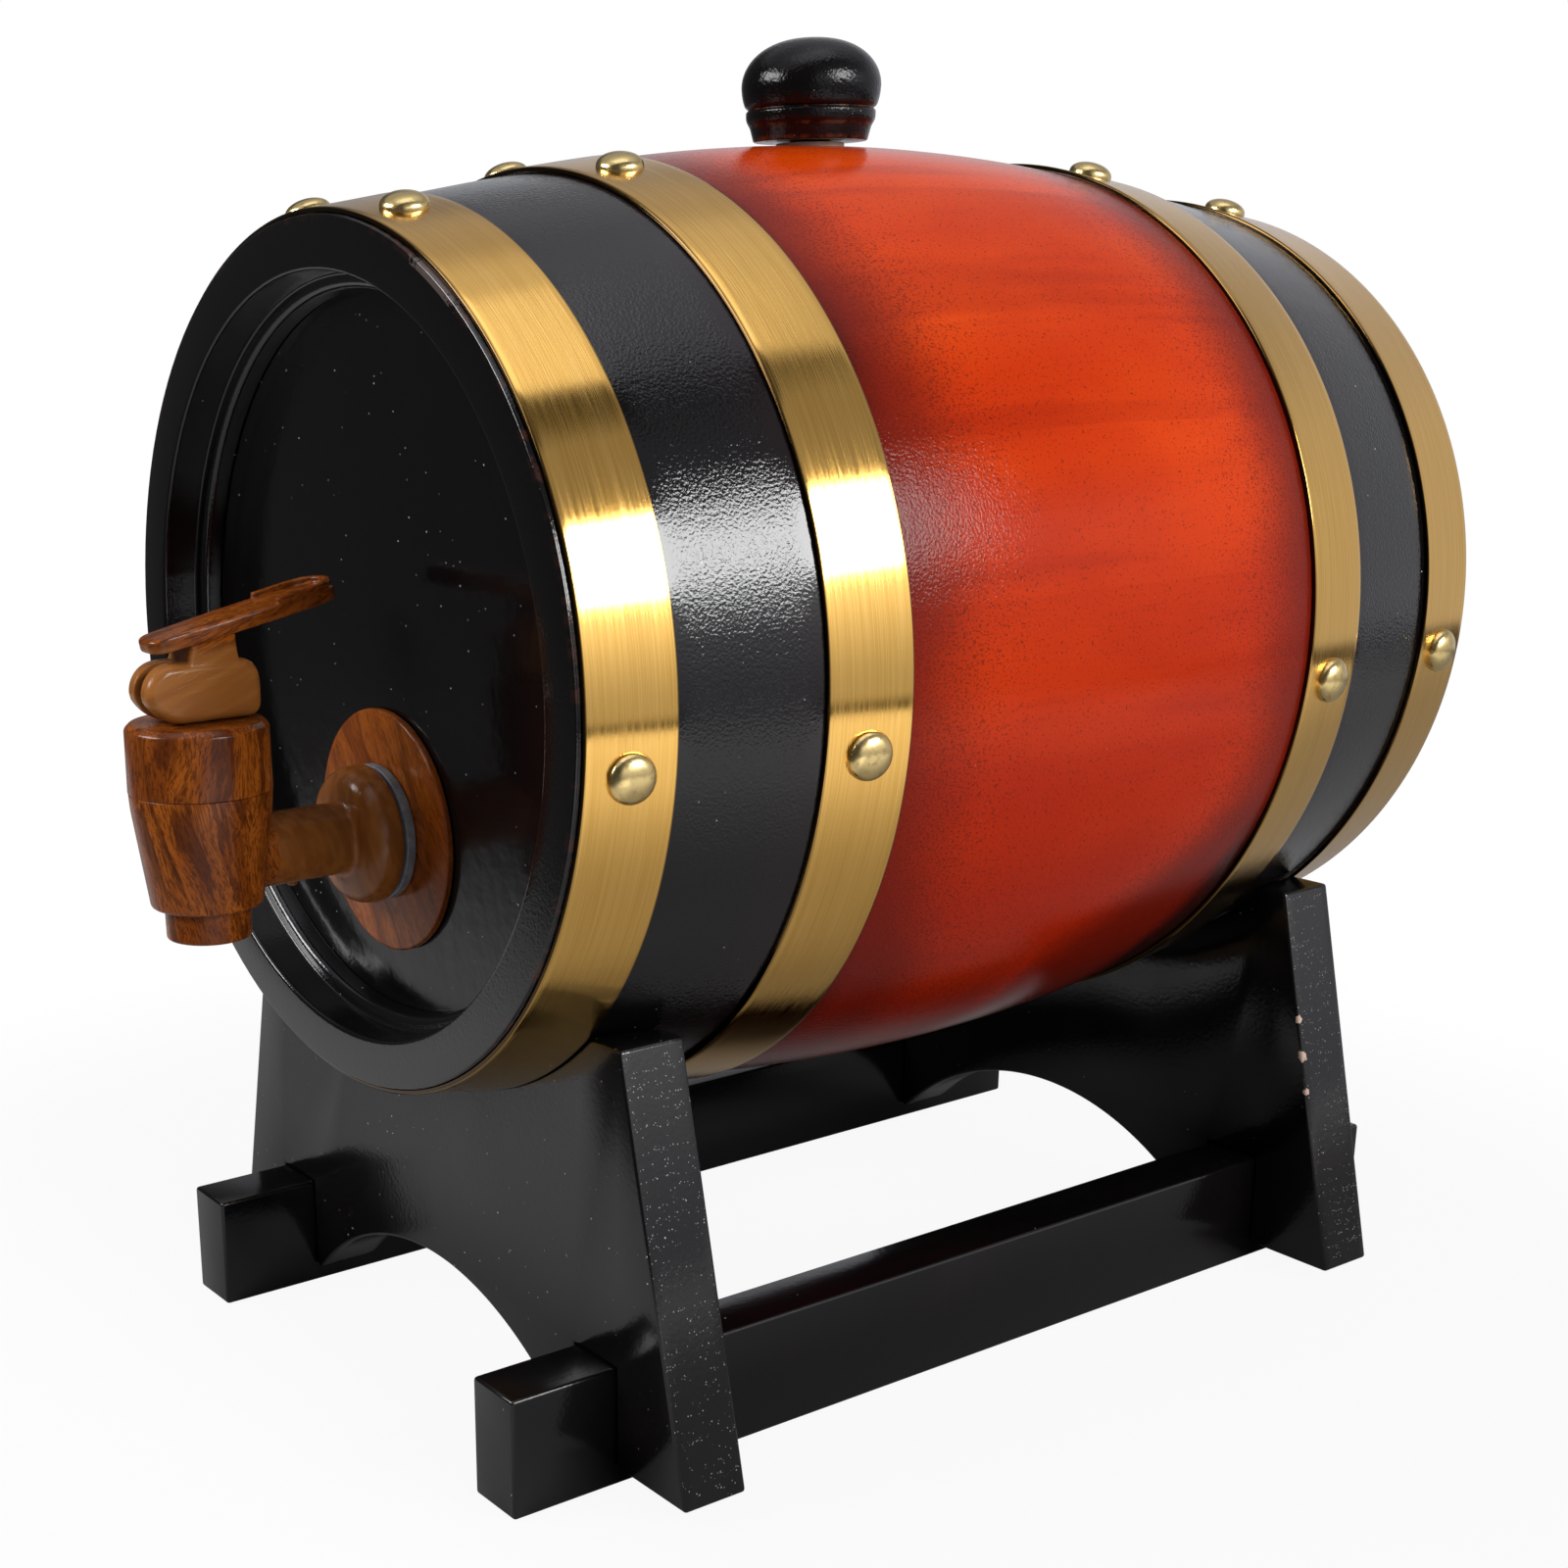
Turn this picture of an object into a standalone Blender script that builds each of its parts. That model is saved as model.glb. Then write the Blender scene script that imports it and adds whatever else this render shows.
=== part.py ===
"""Five-litre oak cask on a black stand, with a lever tap in its front head.

The cask lies along Y with its tap towards -Y. +Z is up and all sizes are in metres. The pieces
are laid out about the middle of the stand and the floor below it, and build() then slides them
along Y, so that the origin is the middle of the whole object's footprint, tap included.
"""

import math

import bmesh
import bpy
from mathutils import Matrix, Vector

# Gaps between neighbouring pieces
GAP = 0.0003

# Cask: radii are measured from its axis, places along it from its middle
BELLY_RADIUS = 0.105
CHIME_RADIUS = 0.0902
CASK_HALF_LENGTH = 0.1295
BILGE_FULLNESS = 0.343
AXIS_HEIGHT = 0.1663
STAVE_COUNT = 20
STAVE_THICKNESS = 0.0145
ARC_STEPS_PER_STAVE = 3
# Lays a ring along the cask with its flats over those of the staves
STAVE_FLATS_TURN = (-math.pi / 2, math.radians(90 - 180 / STAVE_COUNT), 0)
CHIME_INNER_RADIUS = 0.0797
CHIME_BEVEL_DEPTH = 0.0012
RECESS_STEP_DEPTH = 0.0082
RECESS_STEP_RADIUS = 0.0762
HEAD_DEPTH = 0.0133
HEAD_THICKNESS = 0.0100
HEAD_RADIUS = 0.0830
HEAD_EDGE_BEVEL = 0.0012
CROZE_RADIUS = 0.0834

# Hoops and their domed nails
HOOP_THICKNESS = 0.0008
END_HOOP = (0.1095, 0.1284)
QUARTER_HOOP = (0.0590, 0.0781)
NAIL_ANGLES = (-96.0, -12.0, 12.0, 96.0)
NAIL_DOME_RADIUS = 0.0050
NAIL_DOME_HEIGHT = 0.0029
NAIL_SHANK_RADIUS = 0.0008
NAIL_SHANK_LENGTH = 0.0080
NAIL_HOLE_RADIUS = 0.0011

# Stand
RAIL_INNER_X = 0.0577
RAIL_WIDTH = 0.0147
RAIL_HEIGHT = 0.0272
RAIL_HALF_LENGTH = 0.1348
BOARD_FRONT_Y = 0.1090
BOARD_THICKNESS = 0.0160
BOARD_TOP = 0.0975
BOARD_FOOT = 0.0041
BOARD_TOP_HALF_WIDTH = 0.0746
BOARD_FOOT_HALF_WIDTH = 0.0964
ARCH_RADIUS = 0.0776
ARCH_TOP = 0.0278

# Bung
BUNG_HOLE_RADIUS = 0.0083
PLUG_TOP_RADIUS = 0.0077
PLUG_TIP_RADIUS = 0.0070
PLUG_LENGTH = 0.0172
KNOB_RADIUS = 0.0156
KNOB_TOP = 0.2940
KNOB_LIFT = 0.0010
KNOB_CAP_HEIGHT = 0.0102
KNOB_CAP_FULLNESS = 0.85
SPIGOT_RADIUS = 0.0045
SPIGOT_LENGTH = 0.0130

# Tap: heights are above the floor, and its upright axis stands in front of the head
TAP_Y = -0.1607
SHANK_HEIGHT = 0.1300
SHANK_RADIUS = 0.00775
SHANK_BORE = 0.0045
BODY_BOTTOM = 0.1206
SEAM_HEIGHT = 0.1448
BONNET_TOP = 0.1591
BODY_BOTTOM_RADIUS = 0.0117
BONNET_RADIUS = 0.0149
BONNET_ROOF = 0.0026
BONNET_WALL = 0.0016
BONNET_SKIRT = 0.0050
SPOUT_RADIUS = 0.0089
SPOUT_BORE = 0.0065
SPOUT_BOTTOM = 0.1137
CHAMBER_RADIUS = 0.0102
SEAT_HEIGHT = 0.1232
FLANGE_RADIUS = 0.0153
FLANGE_THICKNESS = 0.0078
OUTER_WASHER_THICKNESS = 0.0022
INNER_WASHER_THICKNESS = 0.0015
ESCUTCHEON_RADIUS = 0.0265
ESCUTCHEON_THICKNESS = 0.0016
SHANK_END_Y = -0.0900
NUT_RADIUS = 0.0135
NUT_THICKNESS = 0.0070

# Lever, stem and valve
PIVOT_HEIGHT = 0.1655
STEM_RADIUS = 0.0025
STEM_FLAT = 0.0022
STEM_HOLE_RADIUS = 0.0030
STEM_COLLAR = 0.0015
STEM_BLADE_LENGTH = 0.0160
SEAL_HEIGHT = 0.0042
LOBE_THICKNESS = 0.0042
LOBE_SLIT = 0.0030
LOBE_HEIGHT = 0.0122
LOBE_FRONT = 0.0126
LOBE_BACK = 0.0128
CAM_RISE_PER_RADIAN = 0.0050
CAM_SWEEP = 60
LOBE_EDGE = 0.0018
LOBE_TOP_CORNER = 0.0050
LOBE_HEEL_CORNER = 0.0028
NECK_FRONT = (-0.0022, -0.0035)
NECK_BACK = 0.0078
PIN_RADIUS = 0.0010
PADDLE_WIDTH = 0.0126
PADDLE_NOSE = (-0.0106, 0.0108)
PADDLE_END = (0.0318, 0.0192)
PADDLE_THICKNESS = 0.0030
THUMB_STEP = 0.0012
THUMB_REST_START = 0.65
THUMB_RIM = 0.0015
THUMB_DISH_RISE = 0.0003
PIN_COVER = 0.0011
SPRING_RADIUS = 0.0046
SPRING_WIRE = 0.0004
SPRING_TURNS = 6

BLACK_LACQUER = (0.012, 0.011, 0.012, 1.0)
AMBER_STAIN = (0.52, 0.075, 0.008, 1.0)
BRASS = (0.66, 0.45, 0.14, 1.0)
TAP_WOODGRAIN = (0.33, 0.10, 0.025, 1.0)
TAP_PALE = (0.40, 0.19, 0.07, 1.0)
SILICONE = (0.78, 0.72, 0.66, 1.0)
RUBBER_GREY = (0.22, 0.22, 0.23, 1.0)
STEEL = (0.55, 0.55, 0.55, 1.0)


def clear_scene():
    for obj in list(bpy.data.objects):
        bpy.data.objects.remove(obj, do_unlink=True)


def new_collection(name, hidden=False):
    collection = bpy.data.collections.new(name)
    bpy.context.scene.collection.children.link(collection)
    collection.hide_render = hidden
    return collection


def principled(name, colour, roughness, metallic=0.0):
    material = bpy.data.materials.new(name)
    material.use_nodes = True
    shader = material.node_tree.nodes["Principled BSDF"]
    shader.inputs["Base Color"].default_value = colour
    shader.inputs["Roughness"].default_value = roughness
    shader.inputs["Metallic"].default_value = metallic
    material.diffuse_color = colour
    return material


clear_scene()
PARTS = new_collection("oak_cask_dispenser")
CUTTERS = new_collection("cutters", hidden=True)


def empty_at(name, place, parent=None):
    """An empty that carries pieces, on the joint axis of the body it stands for."""
    empty = bpy.data.objects.new(name, None)
    empty.empty_display_size = 0.02
    PARTS.objects.link(empty)
    empty.location = place
    if parent:
        empty.parent = parent
        empty.matrix_parent_inverse = Matrix.Translation(parent.location).inverted()
    bpy.context.view_layer.update()
    return empty


def add_piece(name, mesh, material=None, cutter=False, parent=None):
    obj = bpy.data.objects.new(name, mesh)
    (CUTTERS if cutter else PARTS).objects.link(obj)
    if cutter:
        obj.hide_render = True
        obj.display_type = "WIRE"
    if material:
        mesh.materials.append(material)
    if parent:
        obj.parent = parent
        obj.matrix_parent_inverse = Matrix.Translation(parent.location).inverted()
    return obj


def boolean(target, cutter, operation="DIFFERENCE"):
    modifier = target.modifiers.new(cutter.name, "BOOLEAN")
    modifier.object = cutter
    modifier.operation = operation
    modifier.solver = "EXACT"


def mesh_from_bmesh(name, bm):
    bmesh.ops.recalc_face_normals(bm, faces=bm.faces)
    mesh = bpy.data.meshes.new(name)
    bm.to_mesh(mesh)
    bm.free()
    return mesh


def turned(name, profile, material=None, steps=32, closed=False, axis="Z", place=(0, 0, 0),
           cutter=False, parent=None):
    """A profile of (radius, height) points turned about Z, or about Y with height along +Y."""
    bm = bmesh.new()
    verts = [bm.verts.new((radius, 0, height)) for radius, height in profile]
    for a, b in zip(verts, verts[1:]):
        bm.edges.new((a, b))
    if closed:
        bm.edges.new((verts[-1], verts[0]))
    mesh = bpy.data.meshes.new(name)
    bm.to_mesh(mesh)
    bm.free()
    obj = add_piece(name, mesh, material, cutter, parent)
    obj.location = place
    if axis == "Y":
        obj.rotation_euler = (-math.pi / 2, 0, 0)
    screw = obj.modifiers.new("turn", "SCREW")
    screw.steps = steps
    screw.render_steps = steps
    screw.use_merge_vertices = True
    screw.merge_threshold = 0.00001
    screw.use_smooth_shade = True
    return obj


def tube_profile(outer, inner, low, high):
    """Closed section of a plain ring, running down its outer side."""
    return [(outer, high), (outer, low), (inner, low), (inner, high)]


def rod_profile(radius, low, high):
    return [(0, high), (radius, high), (radius, low), (0, low)]


def stave_radius(y):
    """Outer radius of the cask: flat-ended bilge curve from the belly down to the chime."""
    u2 = (y / CASK_HALF_LENGTH) ** 2
    drop = BELLY_RADIUS - CHIME_RADIUS
    return BELLY_RADIUS - drop * u2 * (1 + BILGE_FULLNESS * (1 - u2))


def stave_slope(y):
    step = 0.0005
    return math.atan2(stave_radius(y + step) - stave_radius(y - step), 2 * step)


def spread(low, high, count):
    return [low + (high - low) * i / (count - 1) for i in range(count)]


def stave_section():
    """Outline of a stave in its own middle plane, as (y, radius) points."""
    end = CASK_HALF_LENGTH
    head_front = end - HEAD_DEPTH
    head_back = head_front - HEAD_THICKNESS
    outer = [(y, stave_radius(y)) for y in spread(-end, end, 11)]
    inner = [(y, stave_radius(y) - STAVE_THICKNESS)
             for y in spread(head_back - GAP, -(head_back - GAP), 5)]
    back_radius = inner[0][1]
    chime = [
        (end, CHIME_INNER_RADIUS + CHIME_BEVEL_DEPTH / 2),
        (end - CHIME_BEVEL_DEPTH, CHIME_INNER_RADIUS),
        (end - RECESS_STEP_DEPTH, CHIME_INNER_RADIUS - 0.0006),
        (end - RECESS_STEP_DEPTH, RECESS_STEP_RADIUS),
        (head_front + GAP, RECESS_STEP_RADIUS - 0.0006),
        (head_front + GAP, CROZE_RADIUS),
        (head_back - GAP, CROZE_RADIUS),
    ]
    assert back_radius < CROZE_RADIUS
    return outer + chime + inner + [(-y, radius) for y, radius in reversed(chime)]


def stave_mesh(name):
    """The stave's outline swept through its share of the circle, less half a gap a side."""
    bm = bmesh.new()
    half = math.pi / STAVE_COUNT - GAP / 2 / BELLY_RADIUS
    start = Matrix.Rotation(-half, 3, "Y")
    verts = [bm.verts.new(start @ Vector((0, y, radius))) for y, radius in stave_section()]
    face = bm.faces.new(verts)
    bmesh.ops.spin(bm, geom=[face] + face.edges[:] + verts, cent=(0, 0, 0), axis=(0, 1, 0),
                   angle=2 * half, steps=ARC_STEPS_PER_STAVE, use_duplicate=False)
    return mesh_from_bmesh(name, bm)


def ring_hoop(name, low, high, material, parent):
    """Brass strip that lies on the staves, bent to a straight-sided cone."""
    inner = [(stave_radius(y) + GAP, y) for y in (low, high)]
    outer = [(radius + HOOP_THICKNESS, y) for radius, y in inner]
    hoop = turned(name, list(reversed(outer)) + inner, material, closed=True, axis="Y",
                  steps=STAVE_COUNT * ARC_STEPS_PER_STAVE, place=parent.location, parent=parent)
    hoop.rotation_euler = STAVE_FLATS_TURN
    return hoop


def nail_frame(y, angle, axis_height):
    """Matrix that stands a nail on the hoop at this place and angle from the top."""
    turn = Matrix.Rotation(math.radians(angle), 4, "Y")
    lean = Matrix.Rotation(stave_slope(y), 4, "X")
    half_flat = math.pi / STAVE_COUNT / ARC_STEPS_PER_STAVE
    radius = (stave_radius(y) + GAP + HOOP_THICKNESS) * math.cos(half_flat) + GAP
    return Matrix.Translation((0, 0, axis_height)) @ turn @ Matrix.Translation((0, y, radius)) @ lean


def nail_profile():
    dome = [(NAIL_DOME_RADIUS * math.sin(a), NAIL_DOME_HEIGHT * math.cos(a))
            for a in (math.radians(d) for d in (0, 32, 62, 90))]
    return dome + [(NAIL_SHANK_RADIUS, 0),
                   (NAIL_SHANK_RADIUS, -NAIL_SHANK_LENGTH * 0.7), (0, -NAIL_SHANK_LENGTH)]


def arc_points(centre, radius, start, end, count):
    """Points of an arc in a plane, its angles in degrees."""
    return [(centre[0] + radius * math.cos(math.radians(a)),
             centre[1] + radius * math.sin(math.radians(a))) for a in spread(start, end, count)]


def plate(name, outline, thickness, material=None, cutter=False, parent=None):
    """A flat outline in X and Z, filled and given its thickness along Y."""
    curve = bpy.data.curves.new(name, "CURVE")
    curve.dimensions = "2D"
    curve.fill_mode = "BOTH"
    curve.extrude = thickness / 2
    spline = curve.splines.new("POLY")
    spline.points.add(len(outline) - 1)
    for point, (x, z) in zip(spline.points, outline):
        point.co = (x, z, 0, 1)
    spline.use_cyclic_u = True
    flat = bpy.data.objects.new(name + "_outline", curve)
    bpy.context.scene.collection.objects.link(flat)
    flat.rotation_euler = (math.pi / 2, 0, 0)
    bpy.context.view_layer.update()
    graph = bpy.context.evaluated_depsgraph_get()
    mesh = bpy.data.meshes.new_from_object(flat.evaluated_get(graph))
    mesh.transform(flat.matrix_world)
    bpy.data.objects.remove(flat, do_unlink=True)
    bm = bmesh.new()
    bm.from_mesh(mesh)
    bmesh.ops.remove_doubles(bm, verts=bm.verts, dist=0.00001)
    bpy.data.meshes.remove(mesh)
    return add_piece(name, mesh_from_bmesh(name, bm), material, cutter, parent)


def block(name, low, high, material=None, cutter=False, parent=None, bevel=0.0):
    bm = bmesh.new()
    bmesh.ops.create_cube(bm, size=1.0)
    low, high = Vector(low), Vector(high)
    bmesh.ops.scale(bm, vec=high - low, verts=bm.verts)
    bmesh.ops.translate(bm, vec=(low + high) / 2, verts=bm.verts)
    obj = add_piece(name, mesh_from_bmesh(name, bm), material, cutter, parent)
    if bevel:
        modifier = obj.modifiers.new("edges", "BEVEL")
        modifier.width = bevel
        modifier.segments = 1
    return obj


def make_stand(lacquer):
    """Two cradle boards that stand over a pair of long rails."""
    rail_outer = RAIL_INNER_X + RAIL_WIDTH
    for side, name in ((-1, "left_rail"), (1, "right_rail")):
        xs = sorted((side * RAIL_INNER_X, side * rail_outer))
        block(name, (xs[0], -RAIL_HALF_LENGTH, 0), (xs[1], RAIL_HALF_LENGTH, RAIL_HEIGHT),
              lacquer, bevel=0.0006)

    slot_in = RAIL_INNER_X - GAP
    slot_out = rail_outer + GAP
    arch_centre = (0, ARCH_TOP - ARCH_RADIUS)
    spring_angle = math.degrees(math.asin((BOARD_FOOT - arch_centre[1]) / ARCH_RADIUS))
    arch = arc_points(arch_centre, ARCH_RADIUS, spring_angle, 180 - spring_angle, 15)
    half = [(slot_in, BOARD_FOOT), (slot_in, RAIL_HEIGHT + GAP), (slot_out, RAIL_HEIGHT + GAP),
            (slot_out, BOARD_FOOT), (BOARD_FOOT_HALF_WIDTH, BOARD_FOOT),
            (BOARD_TOP_HALF_WIDTH, BOARD_TOP)]
    arch = [(x, z) for x, z in arch if abs(x) < slot_in - 0.0002]
    outline = half + [(-x, z) for x, z in reversed(half)] + list(reversed(arch))
    cradle_places = spread(-BOARD_FRONT_Y - 0.01, BOARD_FRONT_Y + 0.01, 25)
    cradle = turned("cask_shape", [(0, cradle_places[-1])]
                    + [(stave_radius(y) + GAP, y) for y in reversed(cradle_places)]
                    + [(0, cradle_places[0])], axis="Y", cutter=True,
                    steps=STAVE_COUNT * ARC_STEPS_PER_STAVE, place=(0, 0, AXIS_HEIGHT))
    cradle.rotation_euler = STAVE_FLATS_TURN
    for side, name in ((-1, "front_end_board"), (1, "rear_end_board")):
        board = plate(name, outline, BOARD_THICKNESS, lacquer)
        board.location.y = side * (BOARD_FRONT_Y - BOARD_THICKNESS / 2)
        boolean(board, cradle)


def make_cask(parent, stain, lacquer, brass):
    """Staves, two heads, four hoops, and the nails that pin each hoop."""
    centre = parent.location
    bung_hole = turned("bung_hole", rod_profile(BUNG_HOLE_RADIUS, 0.24, 0.30), steps=24, cutter=True)
    hoops = {"front_end_hoop": (-END_HOOP[1], -END_HOOP[0]),
             "front_quarter_hoop": (-QUARTER_HOOP[1], -QUARTER_HOOP[0]),
             "rear_quarter_hoop": QUARTER_HOOP,
             "rear_end_hoop": END_HOOP}

    mesh = stave_mesh("stave")
    staves = []
    for index in range(STAVE_COUNT):
        stave = add_piece(f"stave_{index + 1:02d}", mesh.copy(), stain, parent=parent)
        stave.location = centre
        stave.rotation_euler = (0, index * 2 * math.pi / STAVE_COUNT, 0)
        staves.append(stave)
    boolean(staves[0], bung_hole)

    for hoop_index, (name, (low, high)) in enumerate(hoops.items()):
        hoop = ring_hoop(name, low, high, brass, parent)
        middle = (low + high) / 2
        for nail_index, angle in enumerate(NAIL_ANGLES):
            frame = nail_frame(middle, angle, AXIS_HEIGHT)
            label = f"{hoop_index + 1}_{nail_index + 1}"
            nail = turned(f"hoop_nail_{label}", nail_profile(), brass, steps=8, parent=parent)
            nail.matrix_world = frame
            hole = turned(f"nail_hole_{label}", rod_profile(NAIL_HOLE_RADIUS, -0.0095, 0.003),
                          steps=6, cutter=True)
            hole.matrix_world = frame
            boolean(hoop, hole)
            stave_index = round(angle / (360 / STAVE_COUNT)) % STAVE_COUNT
            boolean(staves[stave_index], hole)

    head_front = CASK_HALF_LENGTH - HEAD_DEPTH
    head_back = head_front - HEAD_THICKNESS
    shank_drop = SHANK_HEIGHT - AXIS_HEIGHT
    shank_hole = turned("shank_hole", rod_profile(SHANK_RADIUS + GAP, -0.02, 0.02), axis="Y",
                        steps=24, cutter=True, place=(0, -head_front, AXIS_HEIGHT + shank_drop))
    for side, name in ((-1, "front_head"), (1, "rear_head")):
        low, high = sorted((side * head_back, side * head_front))
        rim = HEAD_RADIUS - HEAD_EDGE_BEVEL
        profile = [(0, high), (rim, high), (HEAD_RADIUS, high - HEAD_EDGE_BEVEL),
                   (HEAD_RADIUS, low + HEAD_EDGE_BEVEL), (rim, low), (0, low)]
        head = turned(name, profile, lacquer, axis="Y", steps=40, place=centre, parent=parent)
        if side < 0:
            boolean(head, shank_hole)


def make_bung(parent, lacquer, silicone):
    """Turned knob whose spigot fills a soft plug, tapered to bite in the bung hole."""
    knob_bottom = AXIS_HEIGHT + BELLY_RADIUS + KNOB_LIFT
    r = KNOB_RADIUS
    cap = [(r * math.cos(math.radians(a)) ** KNOB_CAP_FULLNESS if a < 90 else 0,
            KNOB_TOP - KNOB_CAP_HEIGHT * (1 - math.sin(math.radians(a))))
           for a in (90, 68, 46, 26, 0)]
    # Under the rounded cap come a groove, a bead and a narrower collar
    profile = cap + [
        (r * 0.985, KNOB_TOP - 0.0123), (r * 0.945, KNOB_TOP - 0.0141),
        (r * 0.905, KNOB_TOP - 0.0150), (r * 0.93, KNOB_TOP - 0.0157),
        (r * 0.93, KNOB_TOP - 0.0170), (r * 0.88, KNOB_TOP - 0.0186),
        (r * 0.85, KNOB_TOP - 0.0200), (r * 0.82, knob_bottom),
        (SPIGOT_RADIUS, knob_bottom), (SPIGOT_RADIUS, knob_bottom - SPIGOT_LENGTH + 0.0010),
        (0, knob_bottom - SPIGOT_LENGTH)]
    turned("bung_knob", profile, lacquer, steps=24, parent=parent)

    top = knob_bottom - GAP
    tip = top - PLUG_LENGTH
    bore = SPIGOT_RADIUS + GAP
    plug = [(PLUG_TOP_RADIUS, top), (PLUG_TOP_RADIUS, top - 0.0040), (PLUG_TIP_RADIUS, tip + 0.0010),
            (PLUG_TIP_RADIUS - 0.0008, tip), (0, tip), (0, top - SPIGOT_LENGTH - GAP),
            (bore, top - SPIGOT_LENGTH + 0.0010 - GAP), (bore, top)]
    turned("bung_plug", plug, silicone, steps=20, closed=True, parent=parent)


def make_tap_body(parent, grain, pale, rubber):
    """Body with its spout, shank and flange in one moulding, and what clamps it to the head."""
    disc_front = -CASK_HALF_LENGTH + HEAD_DEPTH - GAP - ESCUTCHEON_THICKNESS
    washer_front = disc_front - GAP - OUTER_WASHER_THICKNESS
    flange_back = washer_front - GAP
    flange_front = flange_back - FLANGE_THICKNESS
    shank_place = (0, 0, SHANK_HEIGHT)

    body = turned("tap_body", [
        (0, SEAM_HEIGHT), (BONNET_RADIUS - 0.0002, SEAM_HEIGHT),
        (BONNET_RADIUS - 0.0004, SEAM_HEIGHT - 0.0030),
        (BODY_BOTTOM_RADIUS + 0.0003, BODY_BOTTOM + 0.0012),
        (BODY_BOTTOM_RADIUS - 0.0006, BODY_BOTTOM),
        (SPOUT_RADIUS + 0.0002, BODY_BOTTOM), (SPOUT_RADIUS, SPOUT_BOTTOM + 0.0010),
        (SPOUT_RADIUS - 0.0007, SPOUT_BOTTOM), (0, SPOUT_BOTTOM)], grain,
        place=(0, TAP_Y, 0), steps=28, parent=parent)
    rounding = FLANGE_THICKNESS / 2
    flange_edge = [(FLANGE_RADIUS - rounding + rounding * math.cos(math.radians(a)),
                    flange_back - rounding + rounding * math.sin(math.radians(a)))
                   for a in spread(60, -90, 4)]
    shank = turned("shank_shape", [
        (0, SHANK_END_Y), (SHANK_RADIUS - 0.0006, SHANK_END_Y),
        (SHANK_RADIUS, SHANK_END_Y - 0.0008), (SHANK_RADIUS, flange_back),
        (FLANGE_RADIUS - 0.0018, flange_back)] + flange_edge
        + [(SHANK_RADIUS, flange_front), (SHANK_RADIUS, TAP_Y + 0.004), (0, TAP_Y + 0.004)],
        axis="Y", place=shank_place, steps=24, cutter=True)
    boolean(body, shank, "UNION")
    chamber = [(0, SEAM_HEIGHT + 0.01), (CHAMBER_RADIUS, SEAM_HEIGHT + 0.01),
               (CHAMBER_RADIUS, SEAT_HEIGHT), (SPOUT_BORE, SEAT_HEIGHT),
               (SPOUT_BORE, SPOUT_BOTTOM - 0.01), (0, SPOUT_BOTTOM - 0.01)]
    boolean(body, turned("chamber", chamber, place=(0, TAP_Y, 0), steps=24, cutter=True))
    boolean(body, turned("shank_bore", rod_profile(SHANK_BORE, TAP_Y + 0.004, SHANK_END_Y + 0.01),
                         axis="Y", place=shank_place, steps=16, cutter=True))

    turned("tap_escutcheon", [
        (ESCUTCHEON_RADIUS, disc_front + ESCUTCHEON_THICKNESS),
        (ESCUTCHEON_RADIUS, disc_front + 0.0006), (ESCUTCHEON_RADIUS - 0.0008, disc_front),
        (SHANK_RADIUS + GAP, disc_front), (SHANK_RADIUS + GAP, disc_front + ESCUTCHEON_THICKNESS)],
        grain, steps=40, closed=True, axis="Y", place=shank_place, parent=parent)
    turned("shank_washer", tube_profile(FLANGE_RADIUS - 0.0005, SHANK_RADIUS + GAP, washer_front,
                                        washer_front + OUTER_WASHER_THICKNESS),
           rubber, steps=24, closed=True, axis="Y", place=shank_place, parent=parent)

    head_back = -CASK_HALF_LENGTH + HEAD_DEPTH + HEAD_THICKNESS
    inner_washer = head_back + GAP
    turned("inner_washer", tube_profile(FLANGE_RADIUS - 0.0020, SHANK_RADIUS + GAP, inner_washer,
                                        inner_washer + INNER_WASHER_THICKNESS),
           rubber, steps=20, closed=True, axis="Y", place=shank_place, parent=parent)
    nut_front = inner_washer + INNER_WASHER_THICKNESS + GAP
    nut = plate("back_nut", arc_points((0, 0), NUT_RADIUS, 0, 300, 6), NUT_THICKNESS, pale,
                parent=parent)
    nut.location = (0, nut_front + NUT_THICKNESS / 2, SHANK_HEIGHT)
    boolean(nut, turned("nut_bore", rod_profile(SHANK_RADIUS + GAP, -0.01, 0.01), axis="Y",
                        place=nut.location, steps=18, cutter=True))

    under = BONNET_TOP - BONNET_ROOF
    inner = CHAMBER_RADIUS - GAP
    bonnet = [
        (BONNET_RADIUS - 0.0014, BONNET_TOP),
        (BONNET_RADIUS, BONNET_TOP - 0.0014), (BONNET_RADIUS, SEAM_HEIGHT + GAP),
        (inner, SEAM_HEIGHT + GAP), (inner, SEAM_HEIGHT - BONNET_SKIRT),
        (inner - BONNET_WALL, SEAM_HEIGHT - BONNET_SKIRT), (inner - BONNET_WALL, under),
        (STEM_HOLE_RADIUS, under), (STEM_HOLE_RADIUS, BONNET_TOP)]
    turned("bonnet_cap", bonnet, grain, steps=28, closed=True, place=(0, TAP_Y, 0), parent=parent)


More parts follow.
